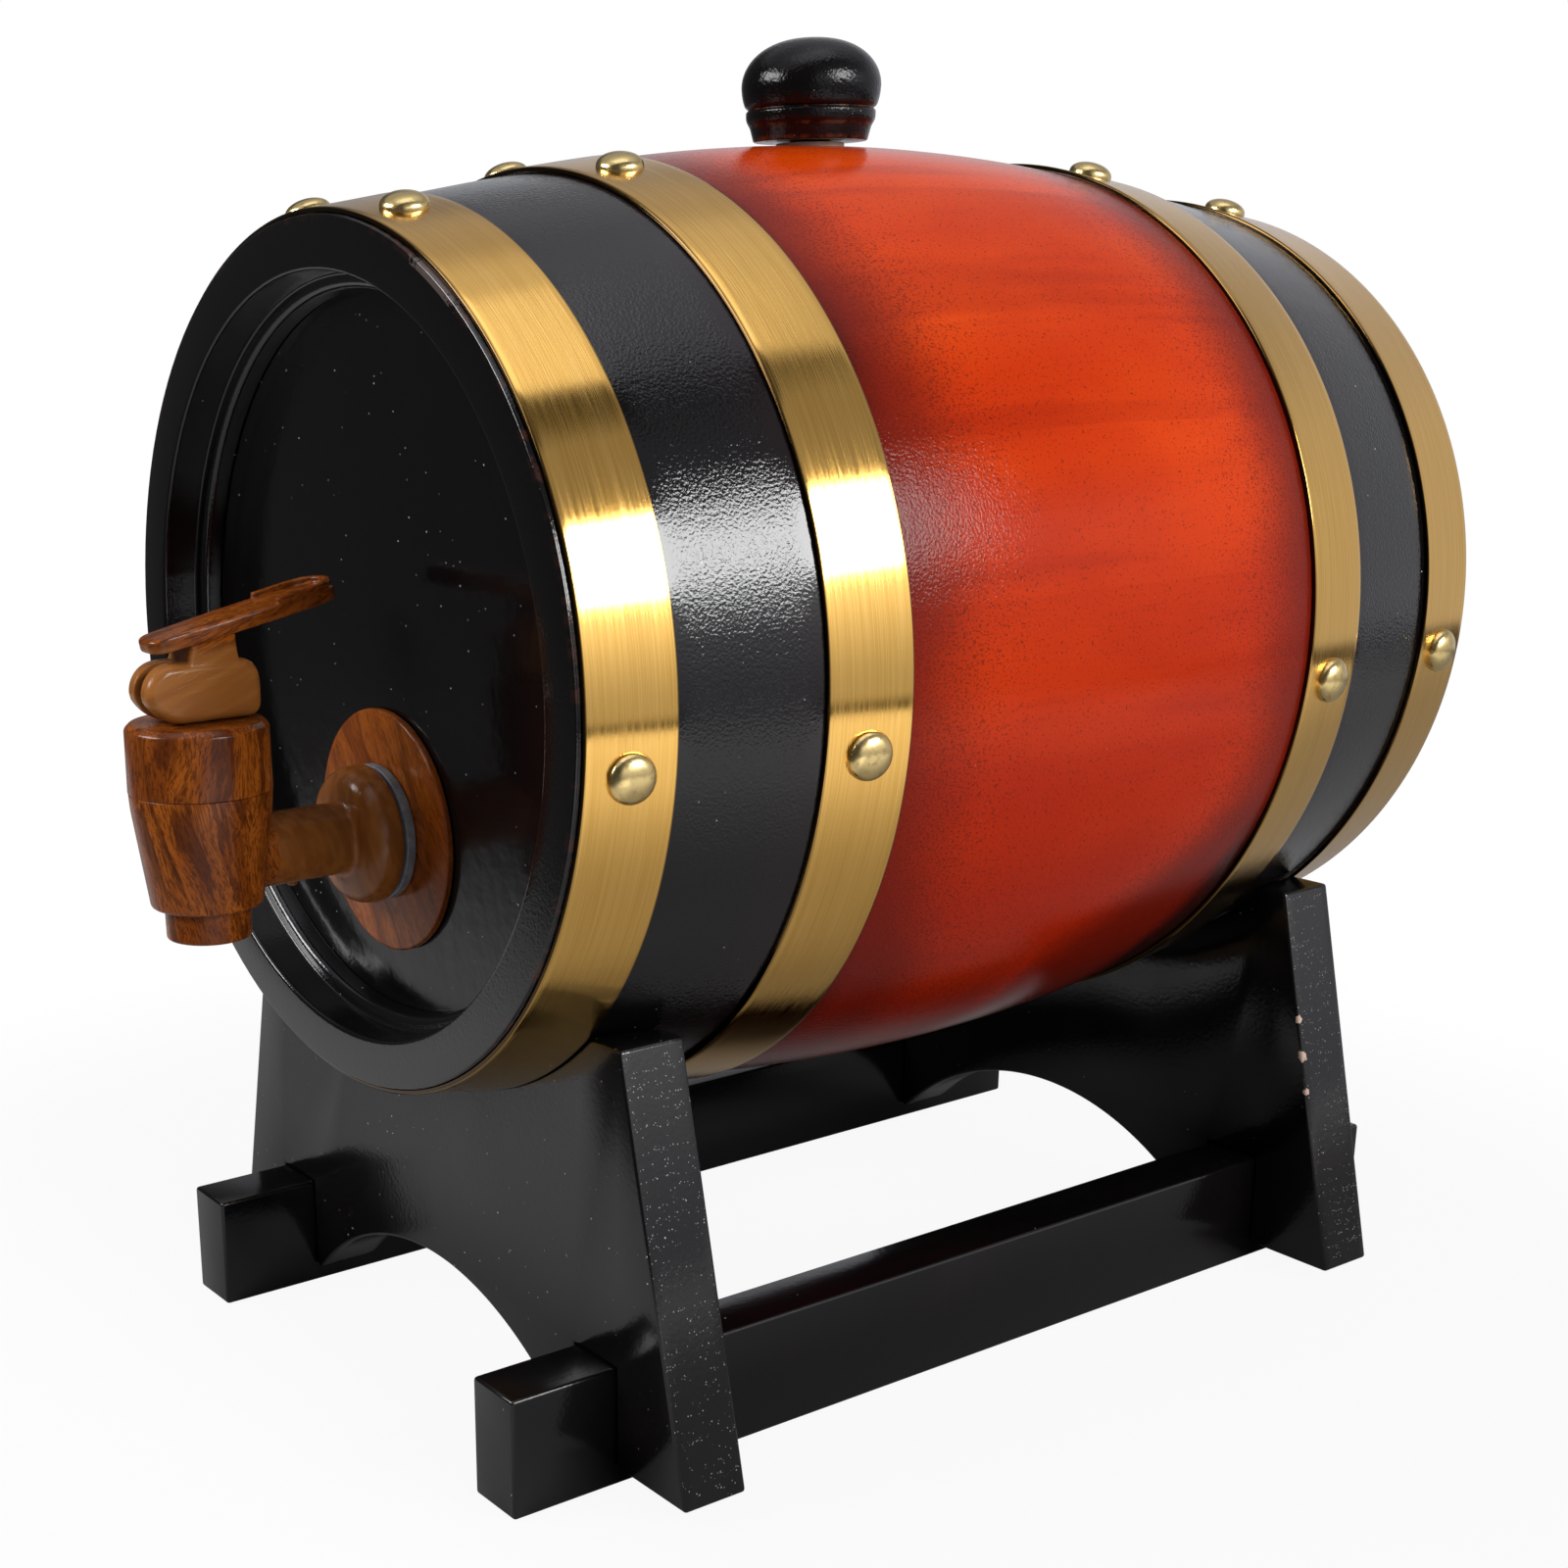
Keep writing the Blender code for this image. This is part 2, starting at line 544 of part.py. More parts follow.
def make_valve(plunger, stem_parent, silicone, steel, pale):
    """Seal cup on its seat, the spring above it, and the stem that the lever lifts."""
    place = (0, TAP_Y, 0)
    seal_bottom = SEAT_HEIGHT + GAP
    seal_top = seal_bottom + SEAL_HEIGHT
    collar_top = seal_top + STEM_COLLAR
    pocket = STEM_RADIUS + GAP
    turned("seal_cup", [
        (CHAMBER_RADIUS - 0.0022, seal_top), (CHAMBER_RADIUS - 0.0014, seal_bottom + 0.0014),
        (CHAMBER_RADIUS - 0.0022, seal_bottom), (0, seal_bottom), (0, seal_bottom + 0.0012),
        (pocket, seal_bottom + 0.0012), (pocket, seal_top)],
        silicone, steps=20, closed=True, place=place, parent=plunger)

    blade_top = PIVOT_HEIGHT + STEM_RADIUS
    stem = turned("lever_stem", [
        (0, blade_top), (STEM_RADIUS, blade_top), (STEM_RADIUS, collar_top),
        (STEM_RADIUS + 0.0022, collar_top), (STEM_RADIUS + 0.0022, seal_top + GAP),
        (STEM_RADIUS, seal_top + GAP), (STEM_RADIUS, seal_bottom + 0.0015),
        (0, seal_bottom + 0.0015)],
        pale, steps=16, place=place, parent=stem_parent)
    blade_low = blade_top - STEM_BLADE_LENGTH
    for side, name in ((-1, "left_flat"), (1, "right_flat")):
        xs = sorted((side * STEM_FLAT / 2, side * 0.006))
        flat = block(name, (xs[0], TAP_Y - 0.005, blade_low),
                     (xs[1], TAP_Y + 0.005, blade_top + 0.002), cutter=True)
        boolean(stem, flat)
    cross_hole = turned("stem_cross_hole", rod_profile(PIN_RADIUS + 0.0002, -0.01, 0.01), steps=12,
                        cutter=True, place=(0, TAP_Y, PIVOT_HEIGHT))
    cross_hole.rotation_euler = (0, math.pi / 2, 0)
    boolean(stem, cross_hole)

    spring_low = collar_top + SPRING_WIRE + GAP
    spring_high = BONNET_TOP - BONNET_ROOF - SPRING_WIRE - GAP
    curve = bpy.data.curves.new("closing_spring", "CURVE")
    curve.dimensions = "3D"
    curve.bevel_depth = SPRING_WIRE
    curve.bevel_resolution = 0
    curve.use_fill_caps = True
    spline = curve.splines.new("POLY")
    points_per_turn = 10
    total = SPRING_TURNS * points_per_turn
    spline.points.add(total)
    least_gap = (spring_high - spring_low) / SPRING_TURNS - 2 * SPRING_WIRE
    print(f"closing spring: least gap between turns {least_gap * 1000:.2f} mm")
    for i, point in enumerate(spline.points):
        turn = 2 * math.pi * i / points_per_turn
        height = spring_low + (spring_high - spring_low) * i / total
        point.co = (SPRING_RADIUS * math.cos(turn), SPRING_RADIUS * math.sin(turn), height, 1)
    spring = bpy.data.objects.new("closing_spring", curve)
    PARTS.objects.link(spring)
    spring.location = place
    curve.materials.append(steel)
    spring.parent = plunger
    spring.matrix_parent_inverse = Matrix.Translation(plunger.location).inverted()


def make_lever(parent, pale, steel):
    """Thumb paddle on a neck, above two cam lobes that ride on the bonnet."""
    pivot = Vector((0, TAP_Y, PIVOT_HEIGHT))
    across = Matrix.Rotation(math.radians(90), 4, "Z")
    outer = LOBE_SLIT / 2 + LOBE_THICKNESS
    half = LOBE_HEIGHT / 2
    # The lower front edge is an involute, so the lobes ride on the bonnet all the way up
    cam = []
    for i in range(5):
        turn = math.radians(CAM_SWEEP * i / 4)
        reach = half + CAM_RISE_PER_RADIAN * turn
        cam.append((-reach * math.sin(turn) - CAM_RISE_PER_RADIAN * math.cos(turn),
                    -reach * math.cos(turn) + CAM_RISE_PER_RADIAN * math.sin(turn)))
    front = cam + arc_points((half - LOBE_FRONT, 0), half, 180, 90, 4)
    shoulder = arc_points((LOBE_BACK - LOBE_TOP_CORNER, half - LOBE_TOP_CORNER),
                          LOBE_TOP_CORNER, 90, 0, 5)
    heel = arc_points((LOBE_BACK - LOBE_HEEL_CORNER, LOBE_HEEL_CORNER - half),
                      LOBE_HEEL_CORNER, 0, -90, 4)
    lobes = plate("lever", front + shoulder + heel, 2 * outer, pale)
    lobes.data.transform(across)
    lobes.parent = parent
    lobes.matrix_parent_inverse = Matrix.Translation(parent.location).inverted()
    lobes.location = pivot
    edges = lobes.modifiers.new("edges", "BEVEL")
    edges.width = LOBE_EDGE
    edges.segments = 2
    edges.limit_method = "ANGLE"
    edges.angle_limit = math.radians(40)

    nose, end = Vector((0, *PADDLE_NOSE)), Vector((0, *PADDLE_END))
    rise = math.atan2(end.z - nose.z, end.y - nose.y)
    length = (end - nose).length

    def inside_paddle(y):
        """Height of the paddle's middle above the pivot, at this distance behind it."""
        return nose.z + (y - nose.y) * math.tan(rise) - PADDLE_THICKNESS / 2 / math.cos(rise)

    neck_top, neck_foot = NECK_FRONT
    root = half - LOBE_EDGE
    neck_outline = [(neck_foot, root), (NECK_BACK + 0.0008, root), (NECK_BACK, half + 0.0010),
                    (NECK_BACK, inside_paddle(NECK_BACK)), (neck_top, inside_paddle(neck_top)),
                    (neck_foot, half + 0.0006)]
    neck = plate("neck_shape", neck_outline, 2 * (outer - 0.0006), cutter=True)
    neck.data.transform(across)
    neck.location = pivot
    boolean(lobes, neck, "UNION")

    half_width = PADDLE_WIDTH / 2
    nose_half = half_width * 0.72
    left_side = [(-nose_half * 0.55, 0), (-nose_half, nose_half * 0.35), (-half_width, length * 0.45)]
    round_end = arc_points((0, length - half_width), half_width, 180, 0, 7)
    outline = left_side + round_end + [(-x, y) for x, y in reversed(left_side)]
    paddle = plate("paddle_shape", outline, PADDLE_THICKNESS, cutter=True)
    laid_flat = Matrix.Rotation(-math.pi / 2, 4, "X")
    paddle_frame = Matrix.Translation(pivot + nose) @ Matrix.Rotation(rise, 4, "X")
    paddle.data.transform(laid_flat)
    paddle.matrix_world = paddle_frame @ Matrix.Translation((0, 0, -PADDLE_THICKNESS / 2))
    boolean(lobes, paddle, "UNION")
    rest_half = half_width - 0.0001
    rest_end = arc_points((0, length - half_width), rest_half, 180, 0, 7)
    rest = [(-rest_half, length * THUMB_REST_START)] + rest_end + [(rest_half, length * THUMB_REST_START)]
    thumb = plate("thumb_rest_shape", rest, PADDLE_THICKNESS, cutter=True)
    thumb.data.transform(laid_flat)
    thumb.matrix_world = paddle_frame @ Matrix.Translation((0, 0, THUMB_STEP - PADDLE_THICKNESS / 2))
    boolean(lobes, thumb, "UNION")
    dish_half = half_width - THUMB_RIM
    dish_start = length * THUMB_REST_START - 0.004
    dish_end = arc_points((0, length - half_width), dish_half, 180, 0, 7)
    dish = plate("thumb_dish_shape", [(-dish_half, dish_start)] + dish_end + [(dish_half, dish_start)],
                 2 * THUMB_STEP, cutter=True)
    dish.data.transform(laid_flat)
    dish.matrix_world = paddle_frame @ Matrix.Translation((0, 0, THUMB_STEP + THUMB_DISH_RISE))
    boolean(lobes, dish)

    slit = block("stem_slit", (-LOBE_SLIT / 2, -0.03, -0.03), (LOBE_SLIT / 2, 0.03, half + 0.0004),
                 cutter=True)
    slit.location = pivot
    boolean(lobes, slit)
    pin_hole = turned("lever_pin_hole", rod_profile(PIN_RADIUS + GAP / 2, -0.02, outer - PIN_COVER),
                      steps=12, cutter=True, place=pivot)
    pin_hole.rotation_euler = (0, math.pi / 2, 0)
    boolean(lobes, pin_hole)

    pin = turned("lever_pin", rod_profile(PIN_RADIUS, 0.0004 - outer, outer - PIN_COVER - GAP), steel,
                 steps=12, place=pivot, parent=parent)
    pin.rotation_euler = (0, math.pi / 2, 0)


def build():
    stain = principled("amber stained oak", AMBER_STAIN, 0.25)
    lacquer = principled("black lacquer", BLACK_LACQUER, 0.22)
    brass = principled("brushed brass", BRASS, 0.30, 1.0)
    grain = principled("woodgrain tap", TAP_WOODGRAIN, 0.35)
    pale = principled("pale tap", TAP_PALE, 0.40)
    silicone = principled("silicone", SILICONE, 0.50)
    rubber = principled("grey washer", RUBBER_GREY, 0.60)
    steel = principled("spring steel", STEEL, 0.30, 1.0)

    make_stand(lacquer)
    cask = empty_at("cask_axis", (0, 0, AXIS_HEIGHT))
    make_cask(cask, stain, lacquer, brass)
    make_bung(empty_at("bung_axis", (0, 0, AXIS_HEIGHT + BELLY_RADIUS), cask), lacquer, silicone)
    tap = empty_at("tap_axis", (0, TAP_Y, SHANK_HEIGHT), cask)
    make_tap_body(tap, grain, pale, rubber)
    plunger = empty_at("plunger_axis", (0, TAP_Y, SEAT_HEIGHT), tap)
    stem_axis = empty_at("stem_axis", (0, TAP_Y, BONNET_TOP), plunger)
    make_valve(plunger, stem_axis, silicone, steel, pale)
    make_lever(empty_at("lever_pivot", (0, TAP_Y, PIVOT_HEIGHT), stem_axis), pale, steel)

    tap_front = TAP_Y - BONNET_RADIUS
    footprint_middle = (tap_front + RAIL_HALF_LENGTH) / 2
    for obj in bpy.data.objects:
        if not obj.parent:
            obj.location.y -= footprint_middle


build()
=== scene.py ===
"""Looks of the oak cask dispenser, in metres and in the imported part's own frame.

The cask lies along Y with its tap towards -Y. Staves, hoops, nails, bung, tap and stand are
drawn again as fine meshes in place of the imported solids, and each finish is a node material.
"""
import math

import bmesh
import bpy
import numpy as np
from mathutils import Matrix, Vector


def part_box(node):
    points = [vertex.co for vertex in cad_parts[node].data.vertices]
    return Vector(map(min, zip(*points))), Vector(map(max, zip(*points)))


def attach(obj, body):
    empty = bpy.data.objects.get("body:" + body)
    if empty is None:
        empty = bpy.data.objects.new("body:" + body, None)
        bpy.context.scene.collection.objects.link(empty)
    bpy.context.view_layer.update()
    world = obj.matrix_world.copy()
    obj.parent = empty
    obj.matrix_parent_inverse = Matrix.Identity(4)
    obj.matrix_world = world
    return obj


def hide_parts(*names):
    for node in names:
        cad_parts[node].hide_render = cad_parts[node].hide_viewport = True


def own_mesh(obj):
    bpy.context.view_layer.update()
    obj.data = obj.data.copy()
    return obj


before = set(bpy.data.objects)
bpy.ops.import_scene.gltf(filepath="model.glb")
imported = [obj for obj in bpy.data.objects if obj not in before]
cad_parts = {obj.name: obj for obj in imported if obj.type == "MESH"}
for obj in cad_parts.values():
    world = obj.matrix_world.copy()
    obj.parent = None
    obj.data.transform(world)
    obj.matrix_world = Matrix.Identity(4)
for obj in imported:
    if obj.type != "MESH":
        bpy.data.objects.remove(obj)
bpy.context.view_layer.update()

# Cask: radii from its axis, places along it from its middle
STAVE_LOW, STAVE_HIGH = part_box("stave_01")
HEAD_LOW, HEAD_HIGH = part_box("front_head")
MID_Y = (STAVE_LOW.y + STAVE_HIGH.y) / 2
AXIS_Z = (HEAD_LOW.z + HEAD_HIGH.z) / 2
HALF_LENGTH = (STAVE_HIGH.y - STAVE_LOW.y) / 2
BELLY_RADIUS = 0.105
CHIME_RADIUS = 0.0902
BILGE_FULLNESS = 0.343
STAVE_COUNT = 20
STAVE_THICKNESS = 0.0145
CHIME_INNER_RADIUS = 0.0797
RECESS_STEP_DEPTH = 0.0082
RECESS_STEP_RADIUS = 0.0762
HEAD_DEPTH = 0.0133
HEAD_THICKNESS = 0.01
CROZE_RADIUS = 0.0834
JOINT_DEPTH = 0.000006
JOINT_WIDTH = 0.0006
SKIN_END = 0.0006

# Hoops, as places along the cask, and their nails
HOOPS = {"front_end_hoop": (-0.1284, -0.1095), "front_quarter_hoop": (-0.0781, -0.059),
         "rear_quarter_hoop": (0.059, 0.0781), "rear_end_hoop": (0.1095, 0.1284)}
QUARTER_HOOP_EDGE = 0.059
HOOP_LIFT = 0.0002
HOOP_THICKNESS = 0.0009
HOOP_ROUND = 0.0004
NAIL_ANGLES = (-96.0, -12.0, 12.0, 96.0)
NAIL_RADIUS = 0.005
NAIL_HEIGHT = 0.0029
NAIL_SUNK = 0.0002

# Stand
RAIL_LOW, RAIL_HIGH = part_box("right_rail")
BOARD_TOP_HALF_WIDTH = 0.0746
BOARD_FOOT_HALF_WIDTH = 0.0964
ARCH_RADIUS = 0.0776
ARCH_TOP = 0.0278
SLOT_GAP = 0.0003
EASED_WIDTH = 0.0008

# Bung
KNOB_RADIUS = 0.0156
KNOB_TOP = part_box("bung_knob")[1].z
KNOB_BOTTOM = 0.2723
KNOB_CAP_HEIGHT = 0.0102
KNOB_CAP_FULLNESS = 0.85
PLUG_LOW, PLUG_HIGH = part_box("bung_plug")
BUNG_HOLE_RADIUS = 0.0083
HOLE_LOW = 0.24
HOLE_HIGH = 0.3
SPIGOT_RADIUS = 0.0045
SPIGOT_LENGTH = 0.013

# Tap
BONNET_LOW, BONNET_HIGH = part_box("bonnet_cap")
TAP_Y = (BONNET_LOW.y + BONNET_HIGH.y) / 2
SHANK_Z = 0.13
SHANK_RADIUS = 0.00775
SHANK_BORE = 0.0045
BODY_BOTTOM = 0.1206
SEAM_Z = 0.1448
BONNET_TOP = BONNET_HIGH.z
BODY_BOTTOM_RADIUS = 0.0117
BONNET_RADIUS = 0.0149
SPOUT_RADIUS = 0.0089
SPOUT_BORE = 0.0065
SPOUT_BOTTOM = 0.1137
CHAMBER_RADIUS = 0.0102
SEAT_Z = 0.1232
FLANGE_RADIUS = 0.0153
FLANGE_THICKNESS = 0.0078
SHANK_START = TAP_Y + 0.004
SHANK_GAP = 0.0003
BONNET_SKIRT_RADIUS = 0.0099
BONNET_HOLLOW_RADIUS = 0.0083
STEM_HOLE_RADIUS = 0.003
CUT_PAST = 0.01
NIB_RADIUS = 0.0012
NIB_DEPTH = 0.0009
NIB_SHARE = 0.3

# Lever, from its pin
PIVOT = Vector((0, TAP_Y, 0.1655))
LOBE_SLIT = 0.003
LOBE_THICKNESS = 0.0042
LOBE_HEIGHT = 0.0122
LOBE_FRONT = 0.0126
LOBE_BACK = 0.0128
LOBE_ROUND = 0.0021
NECK_HALF_WIDTH = 0.005
NECK_FRONT_LOW = -0.0035
NECK_FRONT_HIGH = -0.0022
NECK_BACK = 0.0078
NECK_ROOT = LOBE_HEIGHT / 2 - 0.0016
NECK_FLARE = 0.001
NECK_ROUND = 0.0012
CAM_RISE_PER_RADIAN = 0.005
CAM_SWEEP = 60
PADDLE_WIDTH = 0.0126
PADDLE_NOSE = Vector((0, -0.0106, 0.0108))
PADDLE_END = Vector((0, 0.0318, 0.0192))
PADDLE_THICKNESS = 0.003
THUMB_REST_START = 0.65
THUMB_REST_RISE = 0.0012
THUMB_RIM = 0.0015
LEVER_VOXEL = 0.0002

# Closing spring
SPRING_RADIUS = 0.0046
SPRING_WIRE = 0.0004
SPRING_TURNS = 6
SPRING_STEPS = 32

# All meshes
MERGE_DISTANCE = 0.000002


# Meshes

def stacked(*values):
    """One array out of several, whose last axis tells them apart."""
    return np.stack(values, axis=-1)


def lattice_faces(rows, columns, wrap_rows=False, wrap_columns=False):
    """Quads between neighbouring points of a lattice, closed on itself where a side wraps."""
    r = np.arange(rows if wrap_rows else rows - 1)
    c = np.arange(columns if wrap_columns else columns - 1)
    r, c = np.meshgrid(r, c, indexing="ij")
    r_next = (r + 1) % rows
    c_next = (c + 1) % columns
    quads = stacked(r * columns + c, r_next * columns + c, r_next * columns + c_next, r * columns + c_next)
    return quads.reshape(-1, 4).tolist()


def solid(name, points, faces, sharp_degrees=40):
    """A mesh piece with its doubles merged, its faces turned outwards and its edges shaded."""
    mesh = bpy.data.meshes.new(name)
    mesh.from_pydata(np.asarray(points).reshape(-1, 3).tolist(), [], faces)
    obj = bpy.data.objects.new(name, mesh)
    bpy.context.scene.collection.objects.link(obj)
    tidy_mesh(mesh, sharp_degrees)
    return obj


def tidy_mesh(mesh, sharp_degrees):
    bm = bmesh.new()
    bm.from_mesh(mesh)
    bmesh.ops.remove_doubles(bm, verts=bm.verts, dist=MERGE_DISTANCE)
    bmesh.ops.recalc_face_normals(bm, faces=bm.faces)
    bm.to_mesh(mesh)
    bm.free()
    mesh.shade_smooth()
    mesh.set_sharp_from_angle(angle=math.radians(sharp_degrees))


def rounded_path(corners, steps=5, closed=False):
    """Path through (x, y, reach) corners. Each corner becomes the curve (1-t)^2 a + 2t(1-t) c + t^2 b,
    where a and b lie that reach before and after the corner c."""
    corners = np.asarray(corners, float)
    count = len(corners)
    path = []
    for i, (x, y, reach) in enumerate(corners):
        corner = np.array((x, y))
        if reach == 0 or not closed and i in (0, count - 1):
            path.append(corner[None])
            continue
        before = corners[i - 1, :2] - corner
        after = corners[(i + 1) % count, :2] - corner
        a = corner + before / np.linalg.norm(before) * reach
        b = corner + after / np.linalg.norm(after) * reach
        t = np.linspace(0, 1, steps)[:, None]
        path.append((1 - t) ** 2 * a + 2 * t * (1 - t) * corner + t ** 2 * b)
    return np.concatenate(path)


def turned(name, profile, steps=96, axis="Z", centre=(0, 0, 0), closed=False, sharp_degrees=40):
    """Surface of revolution: (radius, height) goes round the axis as radius cos a, radius sin a."""
    radius, height = np.asarray(profile, float).T[:, :, None]
    angle = np.linspace(0, 2 * math.pi, steps, endpoint=False)[None]
    across, up = radius * np.cos(angle), radius * np.sin(angle)
    level = height + 0 * angle
    points = stacked(across, up, level) if axis == "Z" else stacked(up, level, across)
    points += np.asarray(centre)
    faces = lattice_faces(len(profile), steps, wrap_rows=closed, wrap_columns=True)
    return solid(name, points, faces, sharp_degrees)


def settled(obj, sharp_degrees=40):
    """Takes the result of the piece's modifiers as its mesh."""
    bpy.context.view_layer.update()
    graph = bpy.context.evaluated_depsgraph_get()
    mesh = bpy.data.meshes.new_from_object(obj.evaluated_get(graph), depsgraph=graph)
    obj.modifiers.clear()
    obj.data = mesh
    tidy_mesh(mesh, sharp_degrees)
    return obj


def joined(target, others, operation="UNION"):
    """The target with the other solids added to it or cut from it."""
    for other in others:
        step = target.modifiers.new("join", "BOOLEAN")
        step.operation = operation
        step.solver = "EXACT"
        step.object = other
    settled(target)
    for other in others:
        bpy.data.objects.remove(other, do_unlink=True)
    return target


def finished(piece, body, material, slot, *nodes):
    """Gives the piece its finish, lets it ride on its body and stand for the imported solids."""
    piece.data.materials.clear()
    piece.data.materials.append(material)
    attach(piece, body)
    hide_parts(*nodes)
    return piece


# Cask

def stave_radius(y):
    """Belly radius less a drop that grows with the square of the way to the end, filled out by
    the bilge fullness between middle and end."""
    u2 = (np.asarray(y) / HALF_LENGTH) ** 2
    drop = BELLY_RADIUS - CHIME_RADIUS
    return BELLY_RADIUS - drop * u2 * (1 + BILGE_FULLNESS * (1 - u2))


def stave_outline():
    """Closed (y, radius) outline of a stave, and how far each point follows the outer skin."""
    end = HALF_LENGTH
    head_front = end - HEAD_DEPTH
    head_back = head_front - HEAD_THICKNESS
    skin_end = end - SKIN_END
    y_outer = np.linspace(-skin_end, skin_end, 97)
    outer = stacked(y_outer, stave_radius(y_outer))
    chime = rounded_path([
        (skin_end, stave_radius(end), 0), (end, stave_radius(end), 0.0005),
        (end, CHIME_INNER_RADIUS, 0.0009), (end - RECESS_STEP_DEPTH, CHIME_INNER_RADIUS - 0.0006, 0.0006),
        (end - RECESS_STEP_DEPTH - 0.0004, RECESS_STEP_RADIUS, 0.0016),
        (head_front, RECESS_STEP_RADIUS - 0.0006, 0.0005), (head_front, CROZE_RADIUS, 0),
        (head_back, CROZE_RADIUS, 0)], steps=6)
    y_inner = np.linspace(head_back, -head_back, 13)
    inner = stacked(y_inner, stave_radius(y_inner) - STAVE_THICKNESS)
    outline = np.concatenate([outer, chime[1:], inner, chime[:0:-1] * (-1, 1)])
    skin = np.zeros(len(outline))
    skin[:len(outer)] = 1
    return outline, skin


def make_stave(index, outline, skin):
    """The outline swept through its share of the circle. The outer skin dips into the joint."""
    y, radius = outline.T
    half = math.pi / STAVE_COUNT
    edge = JOINT_WIDTH / BELLY_RADIUS
    angle = np.concatenate([[-half, -half + edge / 2], np.linspace(-half + edge, half - edge, 7),
                            [half - edge / 2, half]])
    dip = np.zeros(len(angle))
    dip[[0, -1]] = JOINT_DEPTH
    dip[[1, -2]] = JOINT_DEPTH / 3
    turn = angle + index * 2 * math.pi / STAVE_COUNT
    r = radius[:, None] - skin[:, None] * dip[None]
    points = stacked(r * np.sin(turn), np.repeat(y[:, None], len(turn), 1) + MID_Y,
                     AXIS_Z + r * np.cos(turn))
    rows, columns = len(y), len(turn)
    faces = lattice_faces(rows, columns, wrap_rows=True)
    faces.append([i * columns for i in range(rows)])
    faces.append([i * columns + columns - 1 for i in reversed(range(rows))])
    return solid(f"stave_{index + 1:02d}_wood", points, faces, 30)


def make_hoop(name, low, high):
    """Strip that follows the staves: skin radius plus its lift, with edges rounded over."""
    y = np.linspace(low + HOOP_ROUND, high - HOOP_ROUND, 15)
    over = stave_radius(y) + HOOP_LIFT + HOOP_THICKNESS
    outer = stacked(over, y)
    edge_high, edge_low = (float(stave_radius(v)) + HOOP_LIFT for v in (high, low))
    thick = HOOP_THICKNESS
    round_high = [(edge_high + thick * 0.93, high - 0.00016), (edge_high + thick * 0.72, high),
                  (edge_high, high)]
    round_low = [(edge_low, low), (edge_low + thick * 0.72, low), (edge_low + thick * 0.93, low + 0.00016)]
    under = stacked(stave_radius(y) + HOOP_LIFT, y)[::-2]
    profile = np.concatenate([outer, round_high, under, round_low])
    return turned(name + "_brass", profile, 240, "Y", (0, MID_Y, AXIS_Z), closed=True, sharp_degrees=50)


def make_nail(label, y, degrees):
    """Domed head, height H (cos a)^0.85 at radius R sin a, standing square on its hoop."""
    a = np.radians(np.linspace(0, 90, 12))
    dome = stacked(NAIL_RADIUS * np.sin(a), NAIL_HEIGHT * np.cos(a) ** 0.85)
    profile = np.concatenate([dome, [(NAIL_RADIUS, -NAIL_SUNK), (0, -NAIL_SUNK)]])
    nail = turned(f"hoop_nail_{label}_dome", profile, 40, sharp_degrees=60)
    slope = math.atan2(float(stave_radius(y + 0.0005) - stave_radius(y - 0.0005)), 0.001)
    out = float(stave_radius(y)) + HOOP_LIFT + HOOP_THICKNESS
    place = (Matrix.Translation((0, MID_Y, AXIS_Z)) @ Matrix.Rotation(math.radians(degrees), 4, "Y")
             @ Matrix.Translation((0, y, out)) @ Matrix.Rotation(slope, 4, "X"))
    nail.data.transform(place)
    return nail


def make_knob():
    """Turned handle: under a cap of radius R cos^f a come a groove, a bead and a narrower collar."""
    r, top, foot = KNOB_RADIUS, KNOB_TOP, KNOB_BOTTOM
    a = np.radians(np.linspace(90, 0, 21))
    cap = stacked(r * np.cos(a) ** KNOB_CAP_FULLNESS, top - KNOB_CAP_HEIGHT * (1 - np.sin(a)))
    turns = rounded_path([
        (r, top - KNOB_CAP_HEIGHT, 0), (r * 0.988, top - 0.0125, 0.0014), (r * 0.945, top - 0.0144, 0.0006),
        (r * 0.895, top - 0.0149, 0.0003), (r * 0.932, top - 0.0154, 0.0003),
        (r * 0.932, top - 0.0171, 0.0008), (r * 0.872, top - 0.0187, 0.0005),
        (r * 0.85, top - 0.02, 0.0006), (r * 0.82, foot, 0.0004), (SPIGOT_RADIUS, foot, 0.0002),
        (SPIGOT_RADIUS, foot - SPIGOT_LENGTH, 0.0005), (0, foot - SPIGOT_LENGTH, 0)], steps=6)
    return turned("bung_knob_turning", np.concatenate([cap, turns[1:]]), 96,
                  centre=(0, MID_Y, 0), sharp_degrees=50)


def make_plug():
    """Soft tapered plug, open at the top for the knob's spigot."""
    top, tip = PLUG_HIGH.z, PLUG_LOW.z
    profile = rounded_path([
        (0.0077, top, 0.0004), (0.0077, top - 0.004, 0), (0.007, tip, 0.0008), (0, tip, 0),
        (0, top - 0.0133, 0), (0.0048, top - 0.0131, 0), (0.0048, top, 0.0003)], steps=4, closed=True)
    return turned("bung_plug_silicone", profile, 64, centre=(0, MID_Y, 0), closed=True)


# Stand

